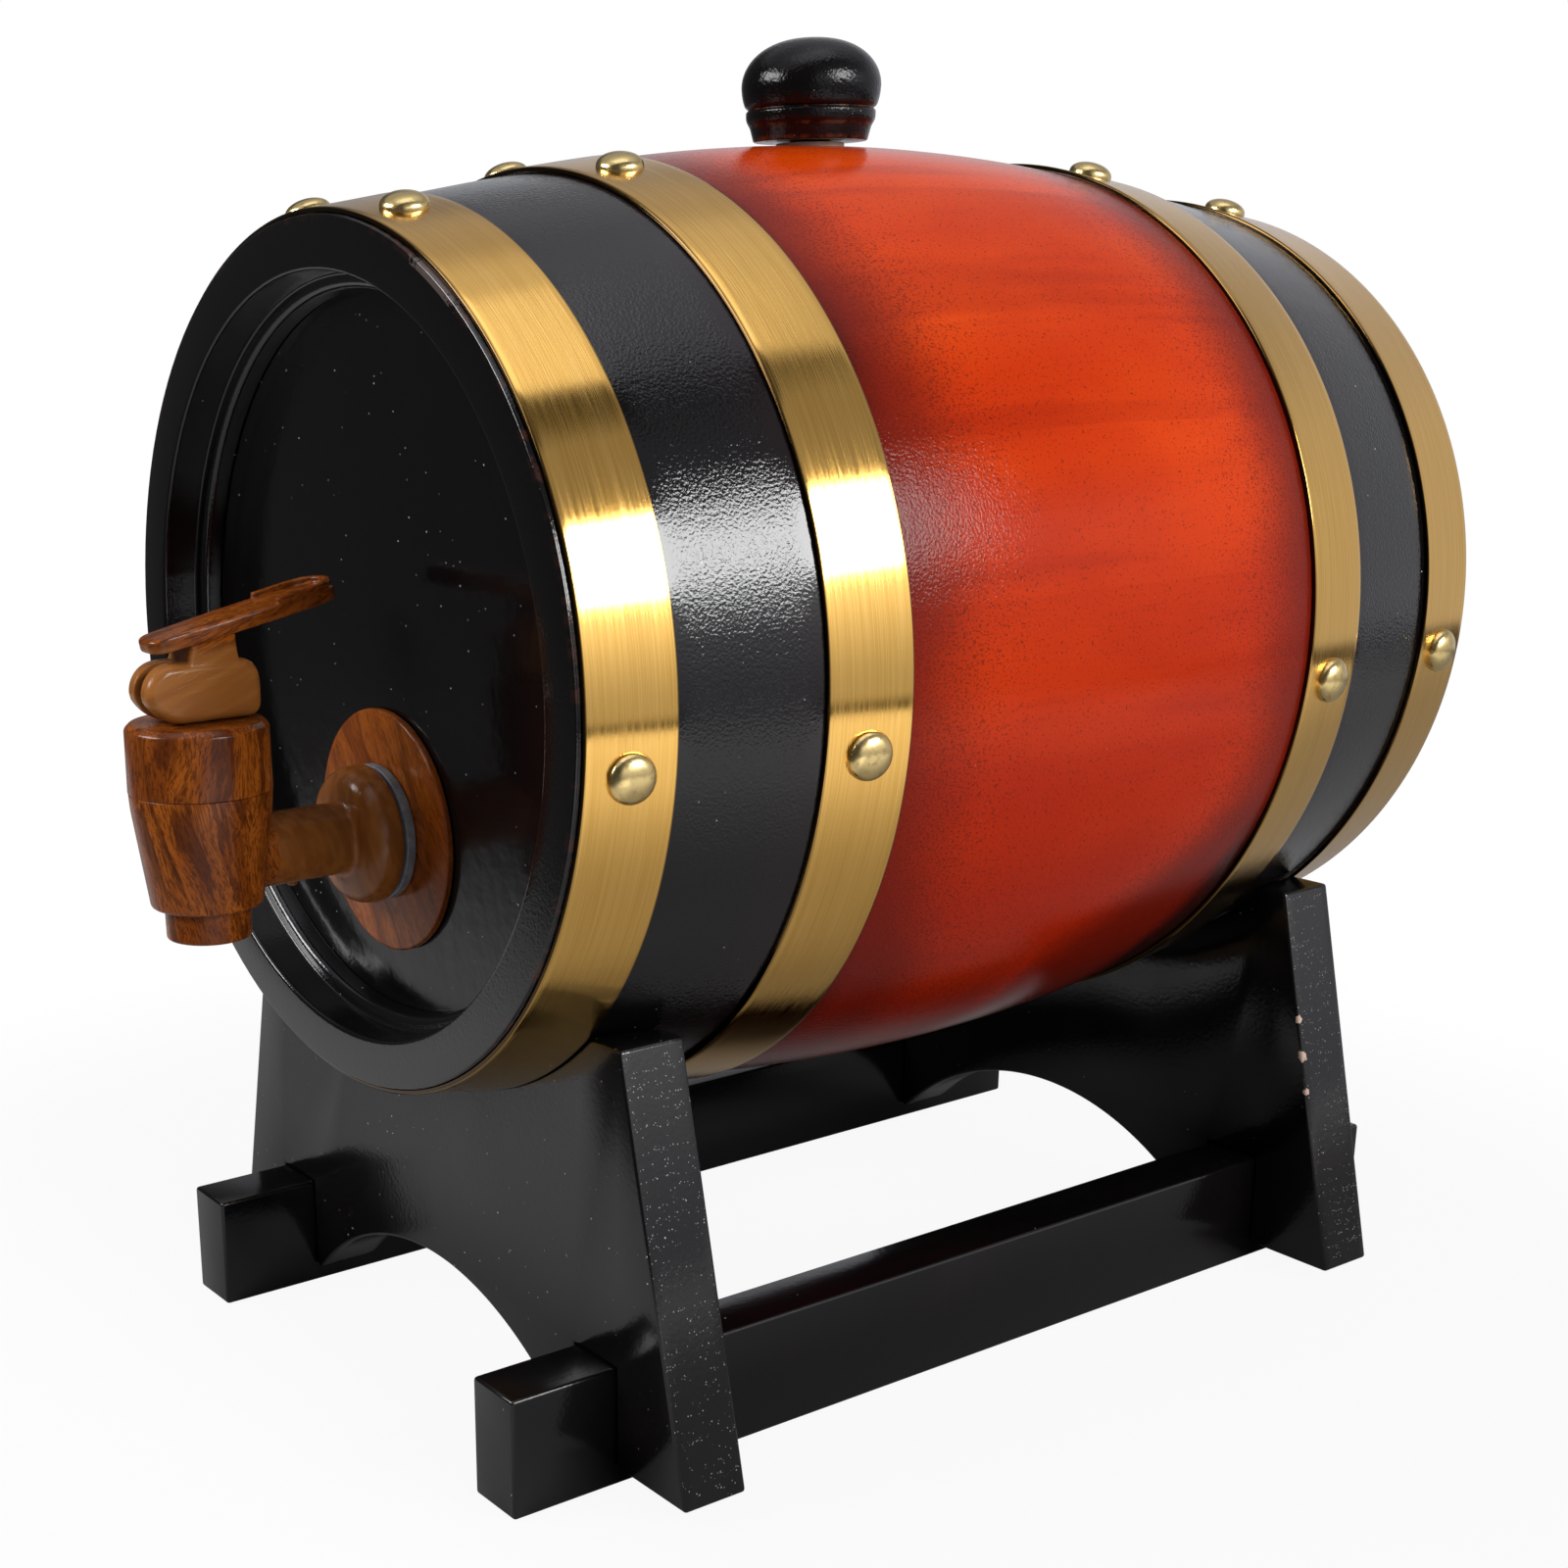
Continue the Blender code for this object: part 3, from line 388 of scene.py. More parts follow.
def make_board(name, low, high):
    """Cradle board: one outline at each of several places along the cask, whose hollow has the
    radius that the staves have there. The foot arch and the rail slots are the same in all."""
    slot_in, slot_out = RAIL_LOW.x - SLOT_GAP, RAIL_HIGH.x + SLOT_GAP
    foot, slot_top = low.z, RAIL_HIGH.z + SLOT_GAP
    side = np.array([(slot_in, foot), (slot_in, slot_top), (slot_out, slot_top), (slot_out, foot),
                     (BOARD_FOOT_HALF_WIDTH, foot), (BOARD_TOP_HALF_WIDTH, high.z)])
    arch_z = ARCH_TOP - ARCH_RADIUS
    reach = math.asin((foot - arch_z) / ARCH_RADIUS)
    a = np.linspace(reach, math.pi - reach, 61)
    arch = stacked(ARCH_RADIUS * np.cos(a), arch_z + ARCH_RADIUS * np.sin(a))
    arch = arch[np.abs(arch[:, 0]) < slot_in - 0.0004][::-1]
    loops = []
    places = np.linspace(low.y, high.y, 7)
    for y in places:
        radius = float(stave_radius(y - MID_Y)) + SLOT_GAP
        lean = math.acos((AXIS_Z - high.z) / radius)
        t = np.linspace(lean, -lean, 81)
        hollow = stacked(radius * np.sin(t), AXIS_Z - radius * np.cos(t))
        loops.append(np.concatenate([side, hollow, side[::-1] * (-1, 1), arch]))
    return carried(name, loops, places)


def make_rail(name, low, high):
    """Long rail, its section carried along Y."""
    section = np.array([(low.x, low.z), (high.x, low.z), (high.x, high.z), (low.x, high.z)])
    places = np.linspace(low.y, high.y, 25)
    return carried(name, [section] * len(places), places)


def carried(name, loops, places):
    """Solid through (x, z) loops at places along Y, closed at both ends, its sharp edges sanded."""
    rows, columns = len(loops), len(loops[0])
    loops = np.array(loops)
    points = stacked(loops[..., 0], np.repeat(places[:, None], columns, 1), loops[..., 1])
    faces = lattice_faces(rows, columns, wrap_columns=True)
    faces.append(list(range(columns)))
    faces.append(list(range((rows - 1) * columns, rows * columns))[::-1])
    obj = solid(name, points, faces)
    bevel = obj.modifiers.new("eased", "BEVEL")
    bevel.width = EASED_WIDTH
    bevel.segments = 3
    bevel.limit_method = "ANGLE"
    bevel.angle_limit = math.radians(35)
    return settled(obj, 50)


# Tap

def make_tap_body():
    """Tapered body with spout, joined to the shank with its flange and nib, then bored: a chamber
    down through the spout and a bore along the shank."""
    body = turned("tap_body_moulding", rounded_path([
        (0, SEAM_Z, 0), (BONNET_RADIUS - 0.0001, SEAM_Z, 0.00025),
        (BONNET_RADIUS - 0.0003, SEAM_Z - 0.0034, 0.0014),
        (BODY_BOTTOM_RADIUS, BODY_BOTTOM, 0.0009), (SPOUT_RADIUS + 0.0001, BODY_BOTTOM, 0.0003),
        (SPOUT_RADIUS, SPOUT_BOTTOM, 0.0006), (0, SPOUT_BOTTOM, 0)], steps=6), 128,
        centre=(0, TAP_Y, 0))
    washer_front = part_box("shank_washer")[0].y
    flange_back = washer_front - SHANK_GAP
    flange_front = flange_back - FLANGE_THICKNESS
    shank_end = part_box("tap_body")[1].y
    shank = turned("shank_shape", rounded_path([
        (0, shank_end, 0), (SHANK_RADIUS, shank_end, 0.0008), (SHANK_RADIUS, flange_back, 0.0002),
        (FLANGE_RADIUS, flange_back, 0.002), (FLANGE_RADIUS - 0.0008, flange_front, 0.005),
        (SHANK_RADIUS, flange_front, 0.0012), (SHANK_RADIUS, SHANK_START, 0), (0, SHANK_START, 0)],
        steps=7), 96, "Y", (0, 0, SHANK_Z))
    shank_bottom = SHANK_Z - SHANK_RADIUS
    nib = turned("nib_shape", rounded_path([
        (0, shank_bottom + NIB_RADIUS, 0), (NIB_RADIUS, shank_bottom + NIB_RADIUS, 0),
        (NIB_RADIUS - 0.0002, shank_bottom - NIB_DEPTH, 0.0004), (0, shank_bottom - NIB_DEPTH, 0)],
        steps=4), 20, centre=(0, (TAP_Y + BONNET_RADIUS) * (1 - NIB_SHARE) + flange_front * NIB_SHARE, 0))
    joined(body, [shank, nib])
    chamber = turned("chamber_shape", [
        (0, SEAM_Z + CUT_PAST), (CHAMBER_RADIUS, SEAM_Z + CUT_PAST), (CHAMBER_RADIUS, SEAT_Z),
        (SPOUT_BORE, SEAT_Z), (SPOUT_BORE, SPOUT_BOTTOM - CUT_PAST), (0, SPOUT_BOTTOM - CUT_PAST)],
        64, centre=(0, TAP_Y, 0))
    bore = turned("shank_bore_shape", [
        (0, SHANK_START), (SHANK_BORE, SHANK_START), (SHANK_BORE, shank_end + CUT_PAST),
        (0, shank_end + CUT_PAST)], 48, "Y", (0, 0, SHANK_Z))
    return joined(body, [chamber, bore], "DIFFERENCE")


def make_bonnet():
    """Cap of the tap, its top edge chamfered, open inside for stem and spring."""
    under = BONNET_TOP - 0.0026
    skirt = BONNET_LOW.z
    profile = rounded_path([
        (BONNET_RADIUS - 0.0013, BONNET_TOP, 0.0004), (BONNET_RADIUS - 0.0001, BONNET_TOP - 0.0012, 0.0005),
        (BONNET_RADIUS, SEAM_Z + 0.0001, 0.0002), (BONNET_SKIRT_RADIUS, SEAM_Z + 0.0001, 0),
        (BONNET_SKIRT_RADIUS, skirt, 0), (BONNET_HOLLOW_RADIUS, skirt, 0), (BONNET_HOLLOW_RADIUS, under, 0),
        (STEM_HOLE_RADIUS, under, 0), (STEM_HOLE_RADIUS, BONNET_TOP, 0.0003)], closed=True)
    return turned("bonnet_cap_moulding", profile, 128, centre=(0, TAP_Y, 0), closed=True)


def make_shank_ring(name, node, front_round, back_round, steps):
    """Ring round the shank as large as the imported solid, its outer rims rounded."""
    low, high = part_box(node)
    inner = SHANK_RADIUS + SHANK_GAP
    profile = rounded_path([(inner, high.y, 0), (inner, low.y, 0), (high.x, low.y, front_round),
                            (high.x, high.y, back_round)], closed=True)
    return turned(name, profile, steps, "Y", (0, 0, SHANK_Z), closed=True)


def lobe_shape(side):
    """Pillow lobe: its outline, drawn in by e(1 - cos p) while it goes out by e sin p, then closed
    over by a low crown. The side towards the slit is flat. The lower front is the involute cam
    (-(h + c t) sin t - c cos t, -(h + c t) cos t + c sin t), the upper front a quarter circle."""
    half = LOBE_HEIGHT / 2
    rise = CAM_RISE_PER_RADIAN
    t = np.radians(np.linspace(0, CAM_SWEEP, 14))
    cam = stacked(-(half + rise * t) * np.sin(t) - rise * np.cos(t),
                  -(half + rise * t) * np.cos(t) + rise * np.sin(t))
    a = np.radians(np.linspace(180, 90, 16))
    brow = stacked(half - LOBE_FRONT + half * np.cos(a), half * np.sin(a))
    rear = rounded_path([(0, half, 0), (LOBE_BACK, half, 0.0056), (LOBE_BACK, -half, 0.0034),
                         (0, -half, 0)], steps=16)
    outline = np.concatenate([cam, brow, rear])
    tangent = np.roll(outline, -1, 0) - np.roll(outline, 1, 0)
    normal = stacked(tangent[:, 1], -tangent[:, 0])
    normal /= np.maximum(np.linalg.norm(normal, axis=1, keepdims=True), 1e-9)
    middle = outline.mean(0)
    outward = np.sign(((outline - middle) * normal).sum(1).mean())
    p = np.radians(np.linspace(0, 90, 9))[:, None, None]
    rim = outline[None] - outward * normal[None] * LOBE_ROUND * (1 - np.cos(p))
    rim_x = LOBE_SLIT / 2 + LOBE_THICKNESS - LOBE_ROUND * (1 - np.sin(p[:, 0]))
    t = np.linspace(0, 1, 8)[1:, None, None]
    crown = rim[-1:] * (1 - t) + middle * t
    crown_x = rim_x[-1] + 0.0002 * (1 - (1 - t[:, 0]) ** 2)
    wall_x = np.full((1, 1), LOBE_SLIT / 2)
    rows = np.concatenate([np.repeat(middle[None, None], len(outline), 1), outline[None], rim, crown])
    x = np.concatenate([wall_x, wall_x, rim_x, crown_x])
    x = side * np.repeat(x, len(outline), 1)
    points = stacked(x, rows[..., 0], rows[..., 1])
    return points, lattice_faces(len(points), len(outline), wrap_columns=True)


def loft(sections):
    """Closed solid through equal loops, each end drawn together to its own middle."""
    sections = np.asarray(sections)
    first, last = sections[:1].mean(1, keepdims=True), sections[-1:].mean(1, keepdims=True)
    count = sections.shape[1]
    points = np.concatenate([np.repeat(first, count, 1), sections, np.repeat(last, count, 1)])
    return points, lattice_faces(len(points), count, wrap_columns=True)


def neck_shape():
    """Post between lobes and paddle. Its front slants and its foot flares by flare (1 - s)^4."""
    sections = []
    for s in np.linspace(0, 1, 12):
        spread = NECK_FLARE * (1 - s) ** 4
        front = NECK_FRONT_LOW + (NECK_FRONT_HIGH - NECK_FRONT_LOW) * s - spread
        wide = NECK_HALF_WIDTH + spread * 0.4
        rear = NECK_BACK + spread
        loop = rounded_path([(x, y, NECK_ROUND) for x, y in (
            (-wide, front), (wide, front), (wide, rear), (-wide, rear))], closed=True)
        lift = paddle_height(loop[:, 1]) - PADDLE_THICKNESS * 0.6
        z = NECK_ROOT + (lift - NECK_ROOT) * s
        sections.append(stacked(loop[:, 0], loop[:, 1], z))
    return loft(sections)


def paddle_height(y):
    """Height of the paddle's top above the pin at this distance behind it."""
    rise = (PADDLE_END.z - PADDLE_NOSE.z) / (PADDLE_END.y - PADDLE_NOSE.y)
    return PADDLE_NOSE.z + (y - PADDLE_NOSE.y) * rise


def slab(outline, bottom, top, edge):
    """Flat outline given thickness, its rims rounded: towards both faces it shrinks about its
    middle by a share that grows as e(1 - cos p)."""
    middle = outline.mean(0)
    reach = np.linalg.norm(outline - middle, axis=1).max()
    p = np.radians(np.linspace(0, 90, 5))
    inset = edge * (1 - np.cos(p[::-1]))
    shrink = 1 - inset / reach * 1.8
    low = bottom + edge - edge * np.sin(p[::-1])
    high = top - edge + edge * np.sin(p)
    scale = np.concatenate([shrink, shrink[::-1]])
    level = np.concatenate([low, high])
    loops = middle + (outline - middle)[None] * scale[:, None, None]
    sections = np.concatenate([loops, np.repeat(level[:, None], len(outline), 1)[..., None]], axis=-1)
    return loft(sections)


def thumb_rim(length, half):
    """Raised rim: a small rounded section carried up one side of the paddle, round its end and
    back down the other side."""
    middle = half - 0.0001 - THUMB_RIM / 2
    start = length * THUMB_REST_START
    straight = np.linspace(start, length - half, 12)
    a = np.radians(np.linspace(180, 0, 30))
    way = np.concatenate([
        stacked(np.full(12, -middle), straight),
        stacked(middle * np.cos(a), length - half + middle * np.sin(a))[1:-1],
        stacked(np.full(12, middle), straight[::-1])])
    step = np.gradient(way, axis=0)
    outward = stacked(-step[:, 1], step[:, 0])
    outward /= np.linalg.norm(outward, axis=1, keepdims=True)
    wide = THUMB_RIM / 2
    section = rounded_path([(-wide, -PADDLE_THICKNESS / 2, 0.0002), (wide, -PADDLE_THICKNESS / 2, 0.0002),
                            (wide, THUMB_REST_RISE, 0.0005), (-wide, THUMB_REST_RISE, 0.0005)],
                           closed=True)
    across = way[:, None] + outward[:, None] * section[None, :, :1]
    level = np.repeat(section[None, :, 1:], len(way), 0)
    return loft(np.concatenate([across, level], axis=-1))


def make_spring():
    """Helix (R cos a, R sin a, height that grows with a) as a round wire with flat ends."""
    low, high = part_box("closing_spring")
    turn = np.linspace(0, SPRING_TURNS * 2 * math.pi, SPRING_TURNS * SPRING_STEPS + 1)
    turn = np.concatenate([turn[:1], turn, turn[-1:]])[:, None]
    wire = np.full(turn.shape, SPRING_WIRE)
    wire[0] = wire[-1] = 0
    a = np.linspace(0, 2 * math.pi, 10, endpoint=False)[None]
    radius = SPRING_RADIUS + wire * np.cos(a)
    climb = low.z + SPRING_WIRE + (high.z - low.z - 2 * SPRING_WIRE) * turn / turn[-1]
    points = stacked(radius * np.cos(turn), radius * np.sin(turn) + TAP_Y, climb + wire * np.sin(a))
    return solid("spring_wire", points, lattice_faces(*points.shape[:2], wrap_columns=True))


def make_lever():
    """Thumb paddle, neck and two lobes, melted into one moulding on a fine voxel grid."""
    length = (PADDLE_END - PADDLE_NOSE).length
    half = PADDLE_WIDTH / 2
    nose = half * 0.72
    outline = rounded_path([
        (-nose, 0, nose * 0.7), (nose, 0, nose * 0.7), (half, length * 0.45, length * 0.2),
        (half, length, half), (-half, length, half), (-half, length * 0.45, length * 0.2)],
        steps=14, closed=True)
    paddle = slab(outline, -PADDLE_THICKNESS, 0, 0.0007)
    rim = thumb_rim(length, half)
    tilt = math.atan2(PADDLE_END.z - PADDLE_NOSE.z, PADDLE_END.y - PADDLE_NOSE.y)
    laid = np.array(Matrix.Translation(PADDLE_NOSE) @ Matrix.Rotation(tilt, 4, "X"))
    shapes = [lobe_shape(-1), lobe_shape(1), neck_shape()]
    for points, faces in (paddle, rim):
        shapes.append((points @ laid[:3, :3].T + laid[:3, 3], faces))
    points, faces, count = [], [], 0
    for shape_points, shape_faces in shapes:
        flat = shape_points.reshape(-1, 3)
        points.append(flat)
        faces += [[i + count for i in face] for face in shape_faces]
        count += len(flat)
    lever = solid("lever_moulding", np.concatenate(points) + np.array(PIVOT), faces)
    remesh = lever.modifiers.new("melt", "REMESH")
    remesh.mode = "VOXEL"
    remesh.voxel_size = LEVER_VOXEL
    ease = lever.modifiers.new("ease", "SMOOTH")
    ease.factor = 0.5
    ease.iterations = 4
    return settled(lever, 80)


# Nodes of the finishes

class Value:
    """An output of a node. Reckoning with it puts a Math node behind it."""

    def __init__(self, socket):
        self.socket = socket
        self.tree = socket.id_data

    def math(self, operation, other=0.0):
        return put(self.tree, "Math", {0: self, 1: other}, operation=operation)[0]

    def __add__(self, other):
        return self.math("ADD", other)

    def __sub__(self, other):
        return self.math("SUBTRACT", other)

    def __rsub__(self, number):
        return put(self.tree, "Math", {0: number, 1: self}, operation="SUBTRACT")[0]

    def __mul__(self, other):
        return self.math("MULTIPLY", other)

    def __truediv__(self, other):
        return self.math("DIVIDE", other)

    def __lt__(self, other):
        return self.math("LESS_THAN", other)

    def __gt__(self, other):
        return self.math("GREATER_THAN", other)

    def __abs__(self):
        return self.math("ABSOLUTE")

    def clamped(self):
        """The same value, kept between 0 and 1."""
        self.socket.node.use_clamp = True
        return self


def outlets(node):
    """The node's outputs as values, by number and by name."""
    return {key: Value(socket) for index, socket in enumerate(node.outputs) for key in (index, socket.name)}


def put(tree, kind, sockets=(), **settings):
    """The outlets of a new node, each socket named here given a constant or joined to a value."""
    node = tree.nodes.new("ShaderNode" + kind)
    for key, value in settings.items():
        setattr(node, key, value)
    for key, value in dict(sockets).items():
        if isinstance(value, Value):
            tree.links.new(value.socket, node.inputs[key])
        else:
            node.inputs[key].default_value = value
    return outlets(node)


def vectors(a, operation, b):
    return put(a.tree, "VectorMath", {0: a, 1: b}, operation=operation)


def parts(value, kind="XYZ"):
    """The three numbers of a vector or, with kind Color, of a colour."""
    split = put(value.tree, "Separate" + kind, {0: value})
    return split[0], split[1], split[2]


def remap(value, low, high, to_low=0.0, to_high=1.0, curve="SMOOTHSTEP"):
    return put(value.tree, "MapRange", {"Value": value, "From Min": low, "From Max": high, "To Min": to_low,
                                        "To Max": to_high}, interpolation_type=curve)["Result"]


def blend(factor, a, b):
    """Colour a where the factor is 0, colour b where it is 1."""
    colors = {key: color if isinstance(color, Value) else (*color, 1) for key, color in ((6, a), (7, b))}
    return put(factor.tree, "Mix", {0: factor, **colors}, data_type="RGBA")[2]


def layered(color, *layers):
    """The colour under layers of (share, tint), the last one on top."""
    for share, tint in layers:
        color = blend(share, color, tint)
    return color


def noise(vector, scale, detail=3.0, roughness=0.5, distortion=0.0):
    return put(vector.tree, "TexNoise", {"Vector": vector, "Scale": scale, "Detail": detail,
                                         "Roughness": roughness, "Distortion": distortion})["Fac"]


def cells(place, scale):
    """Distance from the nearest of many scattered points, and three numbers drawn for that point."""
    points = put(place.tree, "TexVoronoi", {"Vector": place, "Scale": scale}, feature="F1")
    return points["Distance"], parts(points["Color"], "Color")


def stretched(vector, scale, turn=(0, 0, 0)):
    return put(vector.tree, "Mapping", {"Vector": vector, "Scale": scale, "Rotation": turn})["Vector"]


def new_group(name, inputs, outputs):
    """An empty node group with sockets of these kinds. Returns its tree and its inputs as values."""
    tree = bpy.data.node_groups.new(name, "ShaderNodeTree")
    for way, sockets in (("INPUT", inputs), ("OUTPUT", outputs)):
        for label, kind in sockets.items():
            tree.interface.new_socket(name=label, in_out=way, socket_type="NodeSocket" + kind)
    return tree, outlets(tree.nodes.new("NodeGroupInput"))


def close_group(tree, **results):
    """Joins the results to the group's outputs."""
    out = tree.nodes.new("NodeGroupOutput")
    for key, value in results.items():
        tree.links.new(value.socket, out.inputs[key])
    return tree


def use_group(group, place, **sockets):
    """What the group gives at this place, its other inputs named with _ for a space."""
    named = {key.replace("_", " "): value for key, value in sockets.items()}
    return put(place.tree, "Group", {"Place": place, **named}, node_tree=group)


def new_finish(name, **plain):
    """A material with one Principled shader, constants on its own sockets, and the place on the
    part as a value."""
    material = bpy.data.materials.new(name)
    material.use_nodes = True
    inputs = material.node_tree.nodes["Principled BSDF"].inputs
    for key, value in plain.items():
        inputs[key.replace("_", " ")].default_value = value
    return material, put(material.node_tree, "TexCoord")["Object"]


def wired(material, color, roughness, height, depth, coat=None):
    """The material with these values joined to its shader, the height through a Bump node."""
    tree = material.node_tree
    bump = put(tree, "Bump", {"Height": height, "Distance": depth})["Normal"]
    values = {"Base Color": color, "Roughness": roughness, "Normal": bump}
    if coat:
        values.update({"Coat Weight": coat, "Coat Normal": bump})
    for key, value in values.items():
        tree.links.new(value.socket, tree.nodes["Principled BSDF"].inputs[key])
    return material


def make_place_group():
    """Place on the cask: along Y from its middle, away from it either way, radius and height from
    the axis, and a line vector that changes round the cask and along it, but not with the radius."""
    tree, given = new_group("place_on_cask", {"Place": "Vector"},
                            {"Along": "Float", "Away": "Float", "Radius": "Float", "Line": "Vector",
                             "Height": "Float"})
    x, y, z = parts(given["Place"])
    along = y - MID_Y
    up = z - AXIS_Z
    radius = (x * x + up * up).math("SQRT")
    line = put(tree, "CombineXYZ", {0: x / radius * BELLY_RADIUS, 1: along,
                                    2: up / radius * BELLY_RADIUS})["Vector"]
    return close_group(tree, Along=along, Away=abs(along), Radius=radius, Line=line, Height=up)


def make_lacquer_group():
    """Black gloss lacquer: maroon where thin, a few specks of pale dust, an orange-peel skin."""
    tree, given = new_group("black_lacquer_skin", {"Place": "Vector", "Peel Size": "Float", "Dust": "Float"},
                            {"Color": "Color", "Roughness": "Float", "Height": "Float"})
    place = given["Place"]
    distance, chance = cells(place, 420.0)
    size = remap(chance[1], 0, 1, 0.03, 0.1, "LINEAR")
    dust = (distance < size) * (chance[0] < given["Dust"])
    thin = remap(noise(place, 28, 4), 0.55, 0.8)
    color = blend(thin, (0.0024, 0.002, 0.0023), (0.0042, 0.0022, 0.0022))
    color = blend(dust * remap(chance[2], 0, 1, 0.1, 0.75, "LINEAR"), color, (0.52, 0.5, 0.48))
    rough = remap(noise(place, 45, 3), 0.3, 0.7, 0.06, 0.11) + dust * 0.4
    height = noise(place, given["Peel Size"], 2, 0.45) + dust * 0.8
    return close_group(tree, Color=color, Roughness=rough, Height=height)


def make_stave_tone_group():
    """A tone of its own for each stave: the angle round the cask, counted in whole staves."""
    tree, given = new_group("stave_tone", {"Place": "Vector"}, {"Tone": "Color"})
    x, _, z = parts(given["Place"])
    angle = x.math("ARCTAN2", z - AXIS_Z)
    count = (angle * (STAVE_COUNT / (2 * math.pi)) + 0.5).math("FLOOR")
    chance = put(tree, "TexWhiteNoise", {"W": count}, noise_dimensions="1D")["Color"]
    return close_group(tree, Tone=chance)


def make_chip_group():
    """Chipped lacquer: a mask that is 1 in ragged flakes round one spot, fewer farther from it."""
    tree, given = new_group("chipped_spot", {"Place": "Vector", "Spot": "Vector", "Reach": "Float",
                                             "Cover": "Float"}, {"Mask": "Float"})
    away = vectors(given["Place"], "DISTANCE", given["Spot"])["Value"]
    near = (1.0 - away / given["Reach"]).clamped()
    limit = 1.0 - given["Cover"] * near
    return close_group(tree, Mask=remap(noise(given["Place"], 900, 4, 0.6) + 0.28 - limit, 0.0, 0.03))


def make_printed_grain_group():
    """Printed wood grain that runs along Z of the place it is given: broad dark streaks, finer
    lines and short pores, each a stretched noise at a warped place."""
    tree, given = new_group("printed_wood_grain", {"Place": "Vector", "Streaks": "Float"},
                            {"Color": "Color", "Dark": "Float"})
    place = given["Place"]
    warp = put(tree, "TexNoise", {"Vector": stretched(place, (1, 1, 0.45)), "Scale": 55.0, "Detail": 2.0})
    push = vectors(warp["Color"], "SUBTRACT", (0.5, 0.5, 0.5))[0]
    push = put(tree, "VectorMath", {0: push, "Scale": 0.012}, operation="SCALE")[0]
    moved = vectors(place, "ADD", push)[0]
    tone = remap(noise(stretched(moved, (1, 1, 0.2)), 140, 2), 0.35, 0.65)
    color = blend(tone, (0.155, 0.035, 0.004), (0.275, 0.071, 0.008))
    masks = []
    for stretch, size, rough, bend, low, high, share, tint in (
            (0.12, 260, 0.5, 0.0, 0.57, 0.64, 0.74, (0.055, 0.012, 0.003)),
            (0.07, 1300, 0.6, 0.0, 0.5, 0.6, 0.5, (0.06, 0.013, 0.0025)),
            (0.2, 2100, 0.5, 0.6, 0.51, 0.58, 0.62, (0.045, 0.009, 0.002))):
        fibres = noise(stretched(moved, (1, 1, stretch)), size, 2, rough, bend)
        masks.append(remap(fibres, low, high) * given["Streaks"])
        color = blend(masks[-1] * share, color, tint)
    return close_group(tree, Color=color, Dark=masks[0].math("MAXIMUM", masks[1]))


PLACE_ON_CASK = make_place_group()
LACQUER = make_lacquer_group()
CHIPS = make_chip_group()
STAVE_TONE = make_stave_tone_group()
PRINTED_GRAIN = make_printed_grain_group()


# Finishes

# Amber of the belly: the tints above are painted lighter than those below, as painted light and shade
AMBER_PAINTED_SHADE_BELOW = (0.3, 0.014, 0.0006), (0.405, 0.026, 0.0008)
AMBER_PAINTED_LIGHT_ABOVE = (0.42, 0.027, 0.001), (0.55, 0.05, 0.0013)
STAVE_TINT = (0.24, 0.0085, 0.001)
BAND_TINT = (0.2, 0.0075, 0.001)
FIBRE_TINT = (0.19, 0.0085, 0.001)
# Painted shade for the underside of the belly
PAINTED_UNDERSIDE_SHADE = (0.24, 0.009, 0.002)
SPECK_TINT = (0.07, 0.005, 0.002)
SPRAY_BROWN = (0.105, 0.006, 0.0025)
SPRAY_BLACK = (0.017, 0.003, 0.0025)
MAROON_BLACK = (0.0062, 0.002, 0.0026)
END_BLACK = (0.0022, 0.0016, 0.0016)
BARE_OAK = (0.36, 0.2, 0.09)
RUBBED_OAK = (0.06, 0.018, 0.009)
CHIPPED_OAK = (0.3, 0.22, 0.2)
CHIPPED_CHIME = (0.045, MID_Y - HALF_LENGTH, 0.2425)
RUBBED_KNOB = (0.15, 0.034, 0.01)
PALE_PRIMER = (0.5, 0.36, 0.28)
BRASS = (0.73, 0.415, 0.095), (0.85, 0.51, 0.145)
BRASS_MIST = (0.68, 0.39, 0.085)
# Painted shade and a painted shadow line along the hoop edges
PAINTED_HOOP_EDGE_SHADE = (0.16, 0.09, 0.03)
PAINTED_HOOP_EDGE_SHADOW_LINE = (0.03, 0.018, 0.008)
PLAIN_BROWN = (0.16, 0.05, 0.01), (0.215, 0.072, 0.015)
LEVER_BROWN = (0.228, 0.079, 0.0165), (0.272, 0.102, 0.023)
SOFT = {"IOR": 1.41, "Subsurface_Radius": (0.004, 0.003, 0.002)}


